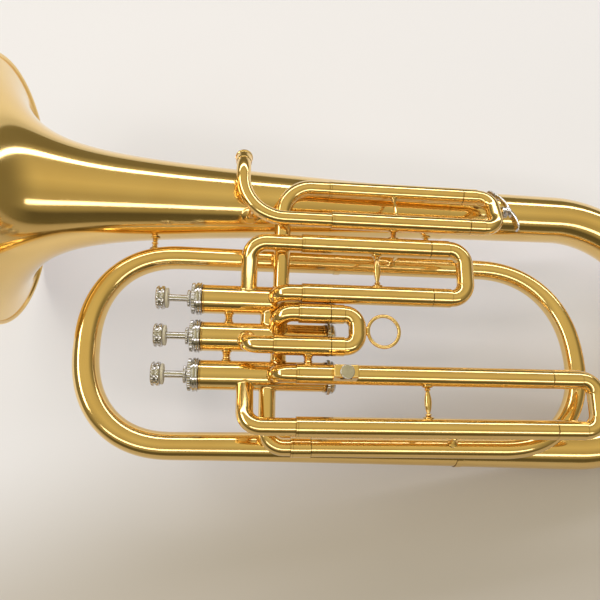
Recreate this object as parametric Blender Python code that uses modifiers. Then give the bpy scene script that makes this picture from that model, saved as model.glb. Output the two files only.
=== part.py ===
"""Alto horn with three piston valves, lying on the lip of its bell and on its bottom bow.

The horn is laid out in its own frame, whose origin is the middle of the second valve's
top. There +X runs down the valves towards the bottom bow, +Y runs across the loops to
the bell, and +Z points away from the surface that the horn lies on. All pieces are
children of one empty, which turns this frame so that the horn lies at rest, with the
middle of its bounding box's underside at the world's origin. All sizes are in metres.
"""

import math

import bmesh
import bpy
import numpy as np
from mathutils import Matrix, Vector

GAP = 0.0003
WALL = 0.0005
X_WAY = Vector((1.0, 0.0, 0.0))
Y_WAY = Vector((0.0, 1.0, 0.0))
Z_WAY = Vector((0.0, 0.0, 1.0))

# How the horn lies: pitch lifts the bell end, roll turns the horn about its length.
LIE_PITCH = math.radians(7.29)
LIE_ROLL = math.radians(7.2)

# Valves
VALVE_PITCH = 0.0277
VALVE_SIDES = 16
CASING_RADIUS = 0.0106
CASING_WALL = 0.0007
CASING_TOP = 0.0033
CASING_END = 0.0945
PORT_RADIUS = 0.0054
STEM_RADIUS = 0.0026
STEM_ROOM = 0.0004
COLLAR_RADIUS = 0.0062
COLLAR_TOP = -0.0074
COLLAR_END = -0.0044
TOP_CAP_RADIUS = 0.0120
BOTTOM_CAP_RADIUS = 0.0126
BOTTOM_CAP_LENGTH = 0.0062
BUTTON_RADIUS = 0.0086
BUTTON_TOP = -0.0298
BUTTON_END = -0.0231
BUTTON_DIP = 0.0006
BUTTON_SOCKET = 0.0034
FELT_RADIUS = 0.0074
FELT_END = -0.0210
PISTON_TOP = 0.0033
PISTON_LENGTH = 0.0620
PISTON_WALL = 0.0009
VENT_RADIUS = 0.0016

# Turned outlines, as shares of the radius and of the height from the top
BUTTON_CROWN = ((0.72, 0.0), (0.93, 0.07), (1.0, 0.27))
BUTTON_SKIRT = ((0.90, 0.45), (1.0, 0.63), (0.95, 0.89), (0.80, 1.0))
TOP_CAP_SHAPE = ((0.92, 0.0), (0.96, 0.51), (1.0, 0.57), (1.0, 1.0))
BOTTOM_CAP_SHAPE = ((1.0, 0.0), (1.0, 0.35), (0.90, 0.45), (0.93, 0.75), (0.80, 1.0))
BOTTOM_CAP_DEPTH = 0.7

# Heights along the valves at which the pipes leave the casings, upper leg first
PORTS_1 = (0.0368, 0.0576)
PORTS_2 = (0.0588, 0.0365)
PORTS_3 = (0.0576, 0.0362)
PORT_ENTRY = 0.0607
PORT_EXIT = 0.0522
PORT_LINK_1_2 = 0.0518
PORT_LINK_2_3 = 0.0596

# Cylindrical tubing: pipes, outer slide tubes, inner slide legs and slide crooks
PIPE_RADIUS = 0.0061
LINK_RADIUS = 0.0058
SLEEVE_RADIUS = 0.0070
LEG_RADIUS = 0.0061
CROOK_RADIUS = 0.0063
LEADPIPE_RADIUS = 0.0054
MAIN_SLEEVE_RADIUS = 0.0064
MAIN_LEG_RADIUS = 0.0055
MAIN_CROOK_RADIUS = 0.0057
BAND_RISE = 0.0006
BAND_LENGTH = 0.0022
PIPE_SIDES = 10
PIPE_START = 0.0080

# Slides: side place, height, start and end of their outer tubes and start of their crooks
SLIDE_HEIGHT = 0.0210
SLIDE_1_Y = (0.0663, 0.0293)
SLIDE_2_Y = (0.0147, -0.0084)
SLIDE_3_Y = (-0.0280, -0.0637)
SLIDE_1_X = (0.0740, 0.1690, 0.1812)
SLIDE_2_X = (0.0720, 0.0944, 0.1022)
SLIDE_2_LOWER_X = (0.0545, SLIDE_2_X[1])
SLIDE_3_X = (0.0707, 0.2540, 0.2740)
SLIDE_1_LEG_START = 0.0860
SLIDE_2_LEG_START = 0.0765
SLIDE_3_LEG_START = 0.0900
SLIDE_BEND = 0.0120
ELBOW_BEND = 0.0095
MAIN_UPPER = (0.1133, 0.0140)
MAIN_LOWER = (0.0845, 0.0240)
MAIN_X = (0.0952, 0.1991, 0.2090)
MAIN_LEG_START = 0.1100
MAIN_BEND = 0.0115
ENTRY_BEND = 0.0210

# Mouthpiece end of the leadpipe
LEADPIPE_BEND = 0.0310
LEADPIPE_X = 0.0302
LEADPIPE_TIP_Y = 0.1222
TIP_BEND = 0.0180
TIP_DROP = math.radians(32.0)
RECEIVER_LENGTH = 0.0085
RECEIVER_RADIUS = 0.0065
RECEIVER_WALL = 0.0015
POST_FOOT = (0.0360, 0.0945)
POST_FOOT_RADIUS = 0.0068
POST_FOOT_THICK = 0.0014
POST_RADIUS = 0.0024

# Main loops, bows and bell
LOOP_TOP_Y = 0.0650
LOOP_BOTTOM_Y = -0.0770
LOOP_DEPTH = -0.0200
BRANCH_HEIGHT = 0.0020
BRANCH_START = 0.0690
BRANCH_SLEEVE_END = 0.0835
BRANCH_TURN_X = 0.2213
BRANCH_TURN_REACH = 0.0702
BRANCH_TURN_POWER = 2.26
BRANCH_END = 0.1062
BRANCH_RADII = ((0.0, 0.0065), (0.5, 0.0075), (1.0, 0.0080))
BOW_TURN_X = -0.0135
BOW_TURN_REACH = 0.0670
BOW_TURN_POWER = 2.32
BOW_JOINT_X = 0.1948
LARGE_RADII = ((0.0, 0.0081), (0.42, 0.0096), (0.70, 0.0103), (1.0, 0.0130))
BELL_Y = 0.1120
BELL_JOINT_X = 0.1908
BOTTOM_TURN_X = 0.2900
BOTTOM_RADII = ((0.0, 0.0132), (0.5, 0.0177), (1.0, 0.0202))
BRANCH_SIDES = 12
BIG_SIDES = 14
BOW_STEPS = 12
BELL_MOUTH_X = -0.1533
BELL_LIP_RADIUS = 0.1021
BELL_BEAD = 0.0015
BELL_WALL = 0.0007
BELL_THROAT = 0.0172
BELL_CONE = 0.0320
BELL_CONE_LENGTH = 0.4160
BELL_FLARE = 0.0395
BELL_SIDES = 28
BELL_RINGS = 11

# Braces
BRACE_SIDES = 8
FLANGE_RADIUS = 0.0037
FLANGE_THICK = 0.0011
FLANGE_SINK = 0.0016
NECK_RADIUS = 0.0013
BELLY_RADIUS = 0.0021
SEAT_LENGTH = 0.0160
SEAT_SIDES = 20

# Places of the braces along the horn
VALVE_BRACES_X = (0.0231, 0.0224)
SLIDES_2_3_BRACE_X = 0.0790
SLIDE_1_BRACE_X = 0.1292
SLIDE_3_BRACE_X = 0.1631
MAIN_SLIDE_BRACE_X = 0.1448
MAIN_TO_SLIDE_1_BRACE_X = 0.1418
SLIDE_1_TO_LOOP_BRACE_X = 0.1494
SLIDE_3_TO_LOOP_BRACE_X = 0.1849
BELL_TO_LOOP_BRACE_X = 0.1820
BELL_TO_BOW_BRACE_X = -0.0369

# Pull ring of the second slide
RING_RADIUS = 0.0112
RING_WIRE = 0.0013
RING_STEPS = 18
WIRE_SIDES = 6

# Lyre socket on the third slide
LYRE_X = (0.0950, 0.1120)
LYRE_WIDTH = 0.0104
LYRE_HEIGHT = 0.0094
LYRE_ROOF = 0.0024
LYRE_SLOT = (0.0080, 0.0032)
LYRE_HEAD_RADIUS = 0.0050
LYRE_HEAD_HEIGHT = 0.0032
LYRE_SHANK_RADIUS = 0.0017

# Water key on the main slide's crook, in the crook's own plane
KEY_PIVOT = (0.0100, 0.0012)
KEY_ARM = ((0.0078, 0.0152), (0.0118, 0.0085), (0.0124, 0.0020), (0.0148, -0.0050), (0.0162, -0.0120))
KEY_TOUCH = (0.0164, -0.0145)
KEY_TOUCH_SIZE = (0.0016, 0.0070, 0.0064)
KEY_CUP_WALL = 0.0007
KEY_HOLE_RADIUS = 0.0013
KEY_PIN_RADIUS = 0.0009
KEY_BARREL_RADIUS = 0.0021
KEY_BARREL_HALF = 0.0026
KEY_EAR_HALF = 0.0042
KEY_ARM_RADIUS = 0.0012
KEY_CUP_ANGLE = math.radians(50.0)
KEY_CUP_RADIUS = 0.0038
KEY_NIPPLE_RADIUS = 0.0024
KEY_NIPPLE_HEIGHT = 0.0014
KEY_CORK_THICK = 0.0012
KEY_SIDES = 12

LACQUER = ((0.86, 0.60, 0.20), 0.12, 1.0)
NICKEL = ((0.80, 0.79, 0.76), 0.14, 1.0)
FELT = ((0.86, 0.83, 0.72), 0.95, 0.0)
CORK = ((0.62, 0.45, 0.28), 0.90, 0.0)


def clear_scene():
    """Removes every object that the scene starts with."""
    for item in list(bpy.data.objects):
        bpy.data.objects.remove(item, do_unlink=True)


def new_collection(name):
    """Makes a collection under the scene's own."""
    group = bpy.data.collections.new(name)
    bpy.context.scene.collection.children.link(group)
    return group


clear_scene()
HORN = new_collection("alto_horn")
CUTTERS = new_collection("cutters")
FRAME = bpy.data.objects.new("horn_frame", None)
HORN.objects.link(FRAME)


def material(name, looks):
    """Makes one piece's own material from a colour, a roughness and a metallic value."""
    colour, roughness, metallic = looks
    item = bpy.data.materials.new(name)
    item.use_nodes = True
    shader = item.node_tree.nodes["Principled BSDF"]
    shader.inputs["Base Color"].default_value = (*colour, 1.0)
    shader.inputs["Roughness"].default_value = roughness
    shader.inputs["Metallic"].default_value = metallic
    item.diffuse_color = (*colour, 1.0)
    return item


def add_piece(name, mesh, looks, origin=(0.0, 0.0, 0.0), up=Z_WAY):
    """Adds a mesh as a named piece, with its local +Z along `up` in the horn's frame."""
    piece = bpy.data.objects.new(name, mesh)
    HORN.objects.link(piece)
    piece.parent = FRAME
    piece.location = origin
    piece.rotation_euler = Z_WAY.rotation_difference(up).to_euler()
    mesh.materials.clear()
    mesh.materials.append(material(name, looks))
    mesh.shade_smooth()
    mesh.set_sharp_from_angle(angle=math.radians(35.0))
    return piece


def make_cutter(piece):
    """Turns a piece into a cutter, which only shapes other pieces."""
    HORN.objects.unlink(piece)
    CUTTERS.objects.link(piece)
    piece.hide_render = True
    piece.display_type = "WIRE"
    return piece


def combine(piece, tool, operation="DIFFERENCE"):
    """Cuts a piece with another shape, or joins the two."""
    step = piece.modifiers.new(operation.lower(), "BOOLEAN")
    step.operation = operation
    step.object = tool
    step.solver = "EXACT"


def turned_mesh(name, profile, closed):
    """Makes the outline of a turned shape from (radius, height) pairs."""
    mesh = bpy.data.meshes.new(name)
    corners = [(radius, 0.0, height) for radius, height in profile]
    edges = [(k, k + 1) for k in range(len(corners) - 1)]
    if closed:
        edges.append((len(corners) - 1, 0))
    mesh.from_pydata(corners, edges, [])
    return mesh


def add_turned(name, profile, looks, origin, up, sides=VALVE_SIDES, closed=False):
    """Turns a profile about the axis `up` through `origin`.

    The profile runs down the outer side. A closed one is a ring with a bore, and an
    open one starts and ends on the axis.
    """
    piece = add_piece(name, turned_mesh(name, profile, closed), looks, origin, up)
    screw = piece.modifiers.new("turn", "SCREW")
    screw.steps = sides
    screw.render_steps = sides
    screw.use_merge_vertices = True
    screw.merge_threshold = 0.00001
    screw.use_smooth_shade = True
    return piece


def add_swept(name, stations, looks, wall=WALL, sides=PIPE_SIDES, cyclic=False, origin=Vector()):
    """Makes a tube along stations of a point and a radius, hollow if it has a wall.

    The points are in the horn's frame, and `origin` is where the piece's own origin lies.
    """
    depth = max(radius for _, radius in stations)
    curve = bpy.data.curves.new(name, "CURVE")
    curve.dimensions = "3D"
    curve.bevel_depth = depth
    curve.bevel_resolution = (sides - 4) // 2
    curve.use_fill_caps = not wall and not cyclic
    spline = curve.splines.new("POLY")
    spline.points.add(len(stations) - 1)
    spline.use_cyclic_u = cyclic
    for knot, (point, radius) in zip(spline.points, stations):
        knot.co = (*(point - origin), 1.0)
        knot.radius = radius / depth
    guide = bpy.data.objects.new(name + "_path", curve)
    HORN.objects.link(guide)
    seen = guide.evaluated_get(bpy.context.evaluated_depsgraph_get())
    mesh = bpy.data.meshes.new_from_object(seen)
    mesh.name = name
    bpy.data.objects.remove(guide, do_unlink=True)
    bpy.data.curves.remove(curve)
    shape = bmesh.new()
    shape.from_mesh(mesh)
    bmesh.ops.remove_doubles(shape, verts=shape.verts, dist=0.000001)
    shape.to_mesh(mesh)
    shape.free()
    piece = add_piece(name, mesh, looks, origin)
    if wall:
        shell = piece.modifiers.new("wall", "SOLIDIFY")
        shell.thickness = wall
        shell.offset = -1.0
    return piece


def add_rod(name, start, end, radius, looks=LACQUER, sides=PIPE_SIDES):
    """Makes a plain round bar between two points."""
    bar = bmesh.new()
    length = (end - start).length
    ends = {"radius1": radius, "radius2": radius, "depth": length}
    bmesh.ops.create_cone(bar, cap_ends=True, segments=sides, **ends)
    mesh = bpy.data.meshes.new(name)
    bar.to_mesh(mesh)
    bar.free()
    return add_piece(name, mesh, looks, (start + end) / 2, (end - start).normalized())


def add_block(name, size, centre, looks, turn=None):
    """Makes a box of the given size about a centre, turned by a rotation matrix."""
    block = bmesh.new()
    bmesh.ops.create_cube(block, size=1.0)
    bmesh.ops.scale(block, vec=size, verts=block.verts)
    mesh = bpy.data.meshes.new(name)
    block.to_mesh(mesh)
    block.free()
    piece = add_piece(name, mesh, looks, centre)
    if turn is not None:
        piece.rotation_euler = turn.to_euler()
    return piece


def fillet(corner, way_in, way_out, radius, steps=5):
    """Points of an arc that rounds the corner between two directions."""
    full = way_in.angle(way_out)
    inward = (way_out - way_in * math.cos(full)) / math.sin(full)
    centre = corner - way_in * radius * math.tan(full / 2) + inward * radius
    turns = [full * k / steps for k in range(steps + 1)]
    return [centre - inward * radius * math.cos(t) + way_in * radius * math.sin(t) for t in turns]


def power_turn(x, reach, power):
    """Outline of a bow between the loop's top and bottom runs, as (x, y) pairs.

    The bow is half of a superellipse about (x, middle). `reach` is its signed width.
    """
    middle = (LOOP_TOP_Y + LOOP_BOTTOM_Y) / 2
    half = (LOOP_TOP_Y - LOOP_BOTTOM_Y) / 2
    pairs = []
    for k in range(BOW_STEPS + 1):
        turn = math.pi * (0.5 - k / BOW_STEPS)
        across = abs(math.cos(turn)) ** (2 / power)
        along = math.copysign(abs(math.sin(turn)) ** (2 / power), math.sin(turn))
        pairs.append((x + reach * across, middle + half * along))
    return pairs


def swell(points, radii):
    """Gives each point a radius, from (share of the path, radius) pairs."""
    runs = [0.0]
    for before, after in zip(points, points[1:]):
        runs.append(runs[-1] + (after - before).length)
    shares, sizes = zip(*radii)
    return [(p, float(np.interp(run / runs[-1], shares, sizes))) for p, run in zip(points, runs)]


def nearest_seat(stations, point):
    """Place, direction and radius of a swelling tube where its path is nearest to a point."""
    seats = []
    for (start, small), (end, large) in zip(stations, stations[1:]):
        run = end - start
        share = min(max((point - start).dot(run) / run.length_squared, 0.0), 1.0)
        seats.append((start + run * share, run.normalized(), small + (large - small) * share))
    return min(seats, key=lambda seat: (seat[0] - point).length)


def valve_y(number):
    """Side place of a valve, counted from 1."""
    return VALVE_PITCH * (2 - number)


def valve_point(number, x):
    """Point on a valve's axis at height x."""
    return Vector((x, valve_y(number), 0.0))


def make_casing_room(number):
    """Cutter that keeps the pipes just clear of a casing."""
    start, end = valve_point(number, CASING_TOP), valve_point(number, CASING_END)
    room = add_rod(f"room_{number}", start, end, CASING_RADIUS + GAP, sides=VALVE_SIDES * 2)
    return make_cutter(room)


ROOMS = {number: make_casing_room(number) for number in (1, 2, 3)}


def way_to(number, y, z):
    """Direction from a valve's axis to a run along the horn beside it."""
    return (Vector((0.0, y, z)) - valve_point(number, 0.0)).normalized()


def port_bend(number, port, y, z, bend):
    """Points of a pipe from a port in a casing round to its run along the horn."""
    way = way_to(number, y, z)
    bent = fillet(Vector((port, y, z)), way, X_WAY, bend)
    return [valve_point(number, port) + way * PIPE_START] + bent


def run_points(y, z, *places):
    """Points at the given x places on a run along the horn."""
    return [Vector((x, y, z)) for x in places]


def add_slide_pipe(name, number, port, y, z, bend, sleeve, radii=(PIPE_RADIUS, SLEEVE_RADIUS)):
    """Makes a pipe that leaves a casing, bends down the horn and becomes a slide's outer tube."""
    pipe_radius, sleeve_radius = radii
    start, end = sleeve
    thin = port_bend(number, port, y, z, bend) + run_points(y, z, start)
    thick = run_points(y, z, start + GAP, end)
    stations = [(p, pipe_radius) for p in thin] + [(p, sleeve_radius) for p in thick]
    combine(add_swept(name, stations, LACQUER), ROOMS[number])


def add_slide_crook(name, first, second, leg_start, ends, bend, radii):
    """Makes a slide's two inner legs and the crook that joins them.

    `first` and `second` are the (y, z) places of the legs. `ends` are the end of the outer
    tubes and the start of the crook, and a ferrule fills the space between them.
    """
    leg_radius, crook_radius = radii
    ferrule_start, ferrule_end = ends[0] + GAP, ends[1] + BAND_LENGTH
    across = Vector((0.0, second[0] - first[0], second[1] - first[1])).normalized()
    stations = []
    for place, way_in, way_out in ((first, X_WAY, across), (second, across, -X_WAY)):
        y, z = place
        legs = [(Vector((x, y, z)), leg_radius) for x in (leg_start, ferrule_start)]
        ferrule = [(Vector((x, y, z)), crook_radius + BAND_RISE) for x in (ferrule_start + GAP, ferrule_end)]
        corner = Vector((ferrule_end + bend, y, z))
        bent = [(p, crook_radius) for p in fillet(corner, way_in, way_out, bend)]
        if place is first:
            stations += legs + ferrule + bent
        else:
            stations += bent + ferrule[::-1] + legs[::-1]
    middle = (stations[0][0] + stations[-1][0]) / 2
    add_swept(name, stations, LACQUER, origin=middle)


def tube_room(name, centre, way, radius, length=SEAT_LENGTH):
    """Cutter that shapes a brace's foot to the tube that it stands on."""
    half = way.normalized() * length / 2
    return make_cutter(add_rod(name, centre - half, centre + half, radius + GAP, sides=SEAT_SIDES))


def add_brace(name, first, second):
    """Makes a turned brace between two tubes, with a flange seated on each.

    `first` and `second` are (point on the axis, direction of the axis, radius).
    """
    start, end = first[0], second[0]
    way = (end - start).normalized()
    length = (end - start).length
    low = first[2] - FLANGE_SINK
    high = length - second[2] + FLANGE_SINK
    foot = FLANGE_SINK + FLANGE_THICK
    shape = [
        (low, FLANGE_RADIUS),
        (low + foot, FLANGE_RADIUS),
        (low + foot + GAP, NECK_RADIUS),
        ((low + high) / 2, BELLY_RADIUS),
        (high - foot - GAP, NECK_RADIUS),
        (high - foot, FLANGE_RADIUS),
        (high, FLANGE_RADIUS),
    ]
    stations = [(start + way * place, radius) for place, radius in shape]
    brace = add_swept(name, stations, LACQUER, wall=0.0, sides=BRACE_SIDES)
    for number, (point, direction, radius) in enumerate((first, second)):
        combine(brace, tube_room(f"{name}_room_{number}", point, direction, radius))


def bell_radius(distance):
    """Radius of the bell's sheet at a distance behind its mouth.

    A slow cone carries the stack, and a term that falls with the square of the distance
    opens the flare.
    """
    cone = BELL_THROAT + BELL_CONE * (BELL_CONE_LENGTH - distance)
    lip = BELL_LIP_RADIUS - BELL_BEAD - BELL_THROAT - BELL_CONE * BELL_CONE_LENGTH
    return cone + lip * (BELL_FLARE / (distance + BELL_FLARE)) ** 2


def bell_slope(distance, step=0.0001):
    """Change of the bell's radius for each metre behind its mouth."""
    return (bell_radius(distance + step) - bell_radius(distance)) / step


def bell_side(distance, shift):
    """Point of the bell's profile, moved out from the sheet's middle by `shift`."""
    slope = bell_slope(distance)
    size = math.hypot(1.0, slope)
    return (bell_radius(distance) + shift / size, -distance + shift * slope / size)


def bell_profile():
    """Outline of the bell's sheet: the beaded lip, the outer side and the inner side."""
    length = BELL_JOINT_X - GAP - BELL_MOUTH_X
    places = [length * (k / BELL_RINGS) ** 2 for k in range(1, BELL_RINGS + 1)]
    slope = bell_slope(0.0)
    size = math.hypot(1.0, slope)
    back = np.array((1.0, slope)) / size
    outward = np.array((-slope, 1.0)) / size
    centre = np.array((bell_radius(0.0), 0.0))
    turns = np.radians((155.0, 120.0, 85.0, 50.0, 25.0))
    bead = [tuple(centre + BELL_BEAD * (math.cos(t) * back + math.sin(t) * outward)) for t in turns]
    outer = [bell_side(place, BELL_WALL / 2) for place in places]
    inner = [bell_side(place, -BELL_WALL / 2) for place in reversed(places)]
    return bead + outer + inner


def add_bell():
    """Makes the bell from its lip to its joint with the bottom bow.

    The middle of one of its flats faces the surface that the horn lies on.
    """
    origin = (BELL_MOUTH_X, BELL_Y, LOOP_DEPTH)
    bell = add_turned("bell", bell_profile(), LACQUER, origin, -X_WAY, BELL_SIDES, closed=True)
    flat = Matrix.Rotation(math.pi / BELL_SIDES - LIE_ROLL, 3, X_WAY)
    bell.rotation_euler = (flat @ bell.rotation_euler.to_matrix()).to_euler()


def add_bottom_bow():
    """Makes the widest bow, from the large branch to the bell."""
    turn_radius = (BELL_Y - LOOP_BOTTOM_Y) / 2
    middle = (BELL_Y + LOOP_BOTTOM_Y) / 2
    turns = [math.pi * (k / BOW_STEPS - 0.5) for k in range(BOW_STEPS + 1)]
    points = [Vector((BOW_JOINT_X + GAP, LOOP_BOTTOM_Y, LOOP_DEPTH))]
    for turn in turns:
        x = BOTTOM_TURN_X + turn_radius * math.cos(turn)
        points.append(Vector((x, middle + turn_radius * math.sin(turn), LOOP_DEPTH)))
    points.append(Vector((BELL_JOINT_X, BELL_Y, LOOP_DEPTH)))
    add_swept("bottom_bow", swell(points, BOTTOM_RADII), LACQUER, sides=BIG_SIDES)


def large_stations():
    """Path of the conical branch with the left bow, from the small branch to the bottom bow."""
    bow = power_turn(BOW_TURN_X, -BOW_TURN_REACH, BOW_TURN_POWER)
    points = [Vector((BRANCH_END - GAP, LOOP_TOP_Y, LOOP_DEPTH))]
    points += [Vector((x, y, LOOP_DEPTH)) for x, y in bow]
    points.append(Vector((BOW_JOINT_X, LOOP_BOTTOM_Y, LOOP_DEPTH)))
    return swell(points, LARGE_RADII)


def small_stations():
    """Path of the small branch, which climbs down a level on its way round to the top."""
    turn = power_turn(BRANCH_TURN_X, BRANCH_TURN_REACH, BRANCH_TURN_POWER)
    rise = (LOOP_DEPTH - BRANCH_HEIGHT) / (LOOP_TOP_Y - LOOP_BOTTOM_Y)
    points = [Vector((BRANCH_SLEEVE_END, LOOP_BOTTOM_Y, BRANCH_HEIGHT))]
    for x, y in reversed(turn):
        points.append(Vector((x, y, BRANCH_HEIGHT + rise * (y - LOOP_BOTTOM_Y))))
    points.append(Vector((BRANCH_END, LOOP_TOP_Y, LOOP_DEPTH)))
    return swell(points, BRANCH_RADII)


def add_exit_pipe():
    """Makes the pipe from the third valve to the small branch, ending in a sleeve."""
    run = (LOOP_BOTTOM_Y, BRANCH_HEIGHT)
    thin = port_bend(3, PORT_EXIT, *run, SLIDE_BEND) + run_points(*run, BRANCH_START)
    thick = run_points(*run, BRANCH_START + GAP, BRANCH_SLEEVE_END - GAP)
    stations = [(p, PIPE_RADIUS) for p in thin]
    stations += [(p, BRANCH_RADII[0][1] + BAND_RISE) for p in thick]
    combine(add_swept("valve_exit_pipe", stations, LACQUER), ROOMS[3])


def add_leadpipe():
    """Makes the leadpipe, with the main slide's lower outer tube, and the mouthpiece receiver."""
    y, z = MAIN_LOWER
    drop = Vector((0.0, math.cos(TIP_DROP), -math.sin(TIP_DROP)))
    tip = fillet(Vector((LEADPIPE_X, LEADPIPE_TIP_Y, z)), Y_WAY, drop, TIP_BEND, 3)
    thin = tip[::-1] + leadpipe_bend() + run_points(y, z, MAIN_X[0])
    stations = [(p, LEADPIPE_RADIUS) for p in [tip[-1] + drop * BAND_LENGTH] + thin]
    stations += [(p, MAIN_SLEEVE_RADIUS) for p in run_points(y, z, MAIN_X[0] + GAP, MAIN_X[1])]
    add_swept("leadpipe", stations, LACQUER)
    profile = [
        (RECEIVER_RADIUS - RECEIVER_WALL, RECEIVER_LENGTH),
        (RECEIVER_RADIUS, RECEIVER_LENGTH),
        (RECEIVER_RADIUS, RECEIVER_LENGTH - BAND_LENGTH),
        (RECEIVER_RADIUS - BAND_RISE, RECEIVER_LENGTH - BAND_LENGTH - GAP),
        (LEADPIPE_RADIUS + GAP, 0.0),
        (LEADPIPE_RADIUS - WALL, 0.0),
    ]
    origin = tip[-1] + drop * (BAND_LENGTH + GAP)
    add_turned("mouthpiece_receiver", profile, LACQUER, origin, drop, closed=True)


def leadpipe_bend():
    """Points of the leadpipe's quarter bend, from its side run to its run along the horn."""
    corner = Vector((LEADPIPE_X, *MAIN_LOWER))
    return fillet(corner, -Y_WAY, X_WAY, LEADPIPE_BEND, 8)


def add_leadpipe_post():
    """Makes the post that carries the leadpipe's bend on the bell's flank."""
    x, y = POST_FOOT
    axis = Vector((x, BELL_Y, LOOP_DEPTH))
    radius = bell_radius(x - POST_FOOT_RADIUS - BELL_MOUTH_X) + BELL_WALL / 2
    fall = math.sqrt(radius ** 2 - (BELL_Y - y) ** 2)
    out = (Vector((x, y, LOOP_DEPTH + fall)) - axis).normalized()
    low, high = axis + out * (radius - POST_FOOT_RADIUS), axis + out * (radius + POST_FOOT_THICK)
    post = add_rod("leadpipe_post", low, high, POST_FOOT_RADIUS, sides=VALVE_SIDES)
    bend = leadpipe_bend()
    stem = add_rod("leadpipe_post_stem", (low + high) / 2, bend[len(bend) // 2], POST_RADIUS)
    combine(post, make_cutter(stem), "UNION")
    room = add_swept("leadpipe_room", [(p, LEADPIPE_RADIUS + GAP) for p in bend], LACQUER, 0.0)
    combine(post, make_cutter(room))
    combine(post, tube_room("leadpipe_post_room", axis, X_WAY, radius + GAP, POST_FOOT_RADIUS * 4))


def add_valve_casing(number, ports):
    """Makes a casing, open at both ends, with a round hole for each pipe that it takes."""
    inner = CASING_RADIUS - CASING_WALL
    outer = CASING_RADIUS
    ring = [(inner, -CASING_TOP), (outer, -CASING_TOP), (outer, -CASING_END), (inner, -CASING_END)]
    name = f"valve_casing_{number}"
    casing = add_turned(name, ring, LACQUER, valve_point(number, 0.0), -X_WAY, closed=True)
    for place, (x, way) in enumerate(ports):
        low = valve_point(number, x) + way * PORT_RADIUS
        high = low + way * CASING_RADIUS
        combine(casing, make_cutter(add_rod(f"{name}_port_{place}", low, high, PORT_RADIUS)))


def scaled(shape, radius, top, low):
    """Turns (share of the radius, share of the height) pairs into a profile's points."""
    return [(radius * across, top + (low - top) * down) for across, down in shape]


def add_caps(number):
    """Makes a valve's top cap, with its collar, and its bottom cap."""
    bore = STEM_RADIUS + STEM_ROOM
    low = GAP - CASING_TOP
    collar = [(bore, -COLLAR_TOP), (COLLAR_RADIUS, -COLLAR_TOP), (COLLAR_RADIUS, -COLLAR_END)]
    cap = collar + scaled(TOP_CAP_SHAPE, TOP_CAP_RADIUS, -COLLAR_END - GAP, low) + [(bore, low)]
    add_turned(f"top_cap_{number}", cap, NICKEL, valve_point(number, 0.0), -X_WAY, closed=True)
    rim = CASING_RADIUS - CASING_WALL
    depth = -BOTTOM_CAP_LENGTH * BOTTOM_CAP_DEPTH
    inside = [(VENT_RADIUS, -BOTTOM_CAP_LENGTH), (VENT_RADIUS, depth), (rim, depth)]
    foot = [(rim, 0.0)] + scaled(BOTTOM_CAP_SHAPE, BOTTOM_CAP_RADIUS, 0.0, -BOTTOM_CAP_LENGTH) + inside
    origin = valve_point(number, CASING_END + GAP)
    add_turned(f"bottom_cap_{number}", foot, NICKEL, origin, -X_WAY, closed=True)


def add_piston(number):
    """Makes a valve's piston with its stem, its finger button and the felt under it."""
    origin = valve_point(number, 0.0)
    radius = CASING_RADIUS - CASING_WALL - GAP
    end = -PISTON_TOP - PISTON_LENGTH
    socket = -BUTTON_END + BUTTON_SOCKET
    body = [
        (0.0, socket - GAP),
        (STEM_RADIUS, socket - GAP),
        (STEM_RADIUS, -PISTON_TOP),
        (radius, -PISTON_TOP),
        (radius, end),
        (radius - PISTON_WALL, end),
        (radius - PISTON_WALL, -PISTON_TOP - 2 * PISTON_WALL),
        (0.0, -PISTON_TOP - 2 * PISTON_WALL),
    ]
    add_turned(f"piston_{number}", body, NICKEL, origin, -X_WAY)
    top, low = -BUTTON_TOP, -BUTTON_END
    bore = STEM_RADIUS + STEM_ROOM
    outside = scaled(BUTTON_CROWN + BUTTON_SKIRT, BUTTON_RADIUS, top, low)
    button = [(0.0, top - BUTTON_DIP)] + outside + [(bore, low), (bore, socket), (0.0, socket)]
    add_turned(f"finger_button_{number}", button, NICKEL, origin, -X_WAY)
    felt = [(bore, low - GAP), (FELT_RADIUS, low - GAP), (FELT_RADIUS, -FELT_END), (bore, -FELT_END)]
    add_turned(f"button_felt_{number}", felt, FELT, origin, -X_WAY, closed=True)


def add_valves():
    """Makes the three valves, their links and the braces between their casings."""
    ways = {
        1: [(PORT_ENTRY, way_to(1, *MAIN_UPPER)), (PORT_LINK_1_2, -Y_WAY)],
        2: [(PORT_LINK_1_2, Y_WAY), (PORT_LINK_2_3, -Y_WAY)],
        3: [(PORT_LINK_2_3, Y_WAY), (PORT_EXIT, way_to(3, LOOP_BOTTOM_Y, BRANCH_HEIGHT))],
    }
    slides = {1: SLIDE_1_Y, 2: SLIDE_2_Y, 3: SLIDE_3_Y}
    heights = {1: PORTS_1, 2: PORTS_2, 3: PORTS_3}
    for number in (1, 2, 3):
        for x, y in zip(heights[number], slides[number]):
            ways[number].append((x, way_to(number, y, SLIDE_HEIGHT)))
        add_valve_casing(number, ways[number])
        add_caps(number)
        add_piston(number)
    for upper, x in ((1, PORT_LINK_1_2), (2, PORT_LINK_2_3)):
        start = valve_point(upper, x) - Y_WAY * PIPE_START
        end = valve_point(upper + 1, x) + Y_WAY * PIPE_START
        stations = [(start, LINK_RADIUS), (end, LINK_RADIUS)]
        link = add_swept(f"valve_link_{upper}_{upper + 1}", stations, LACQUER)
        combine(link, ROOMS[upper])
        combine(link, ROOMS[upper + 1])


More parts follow.
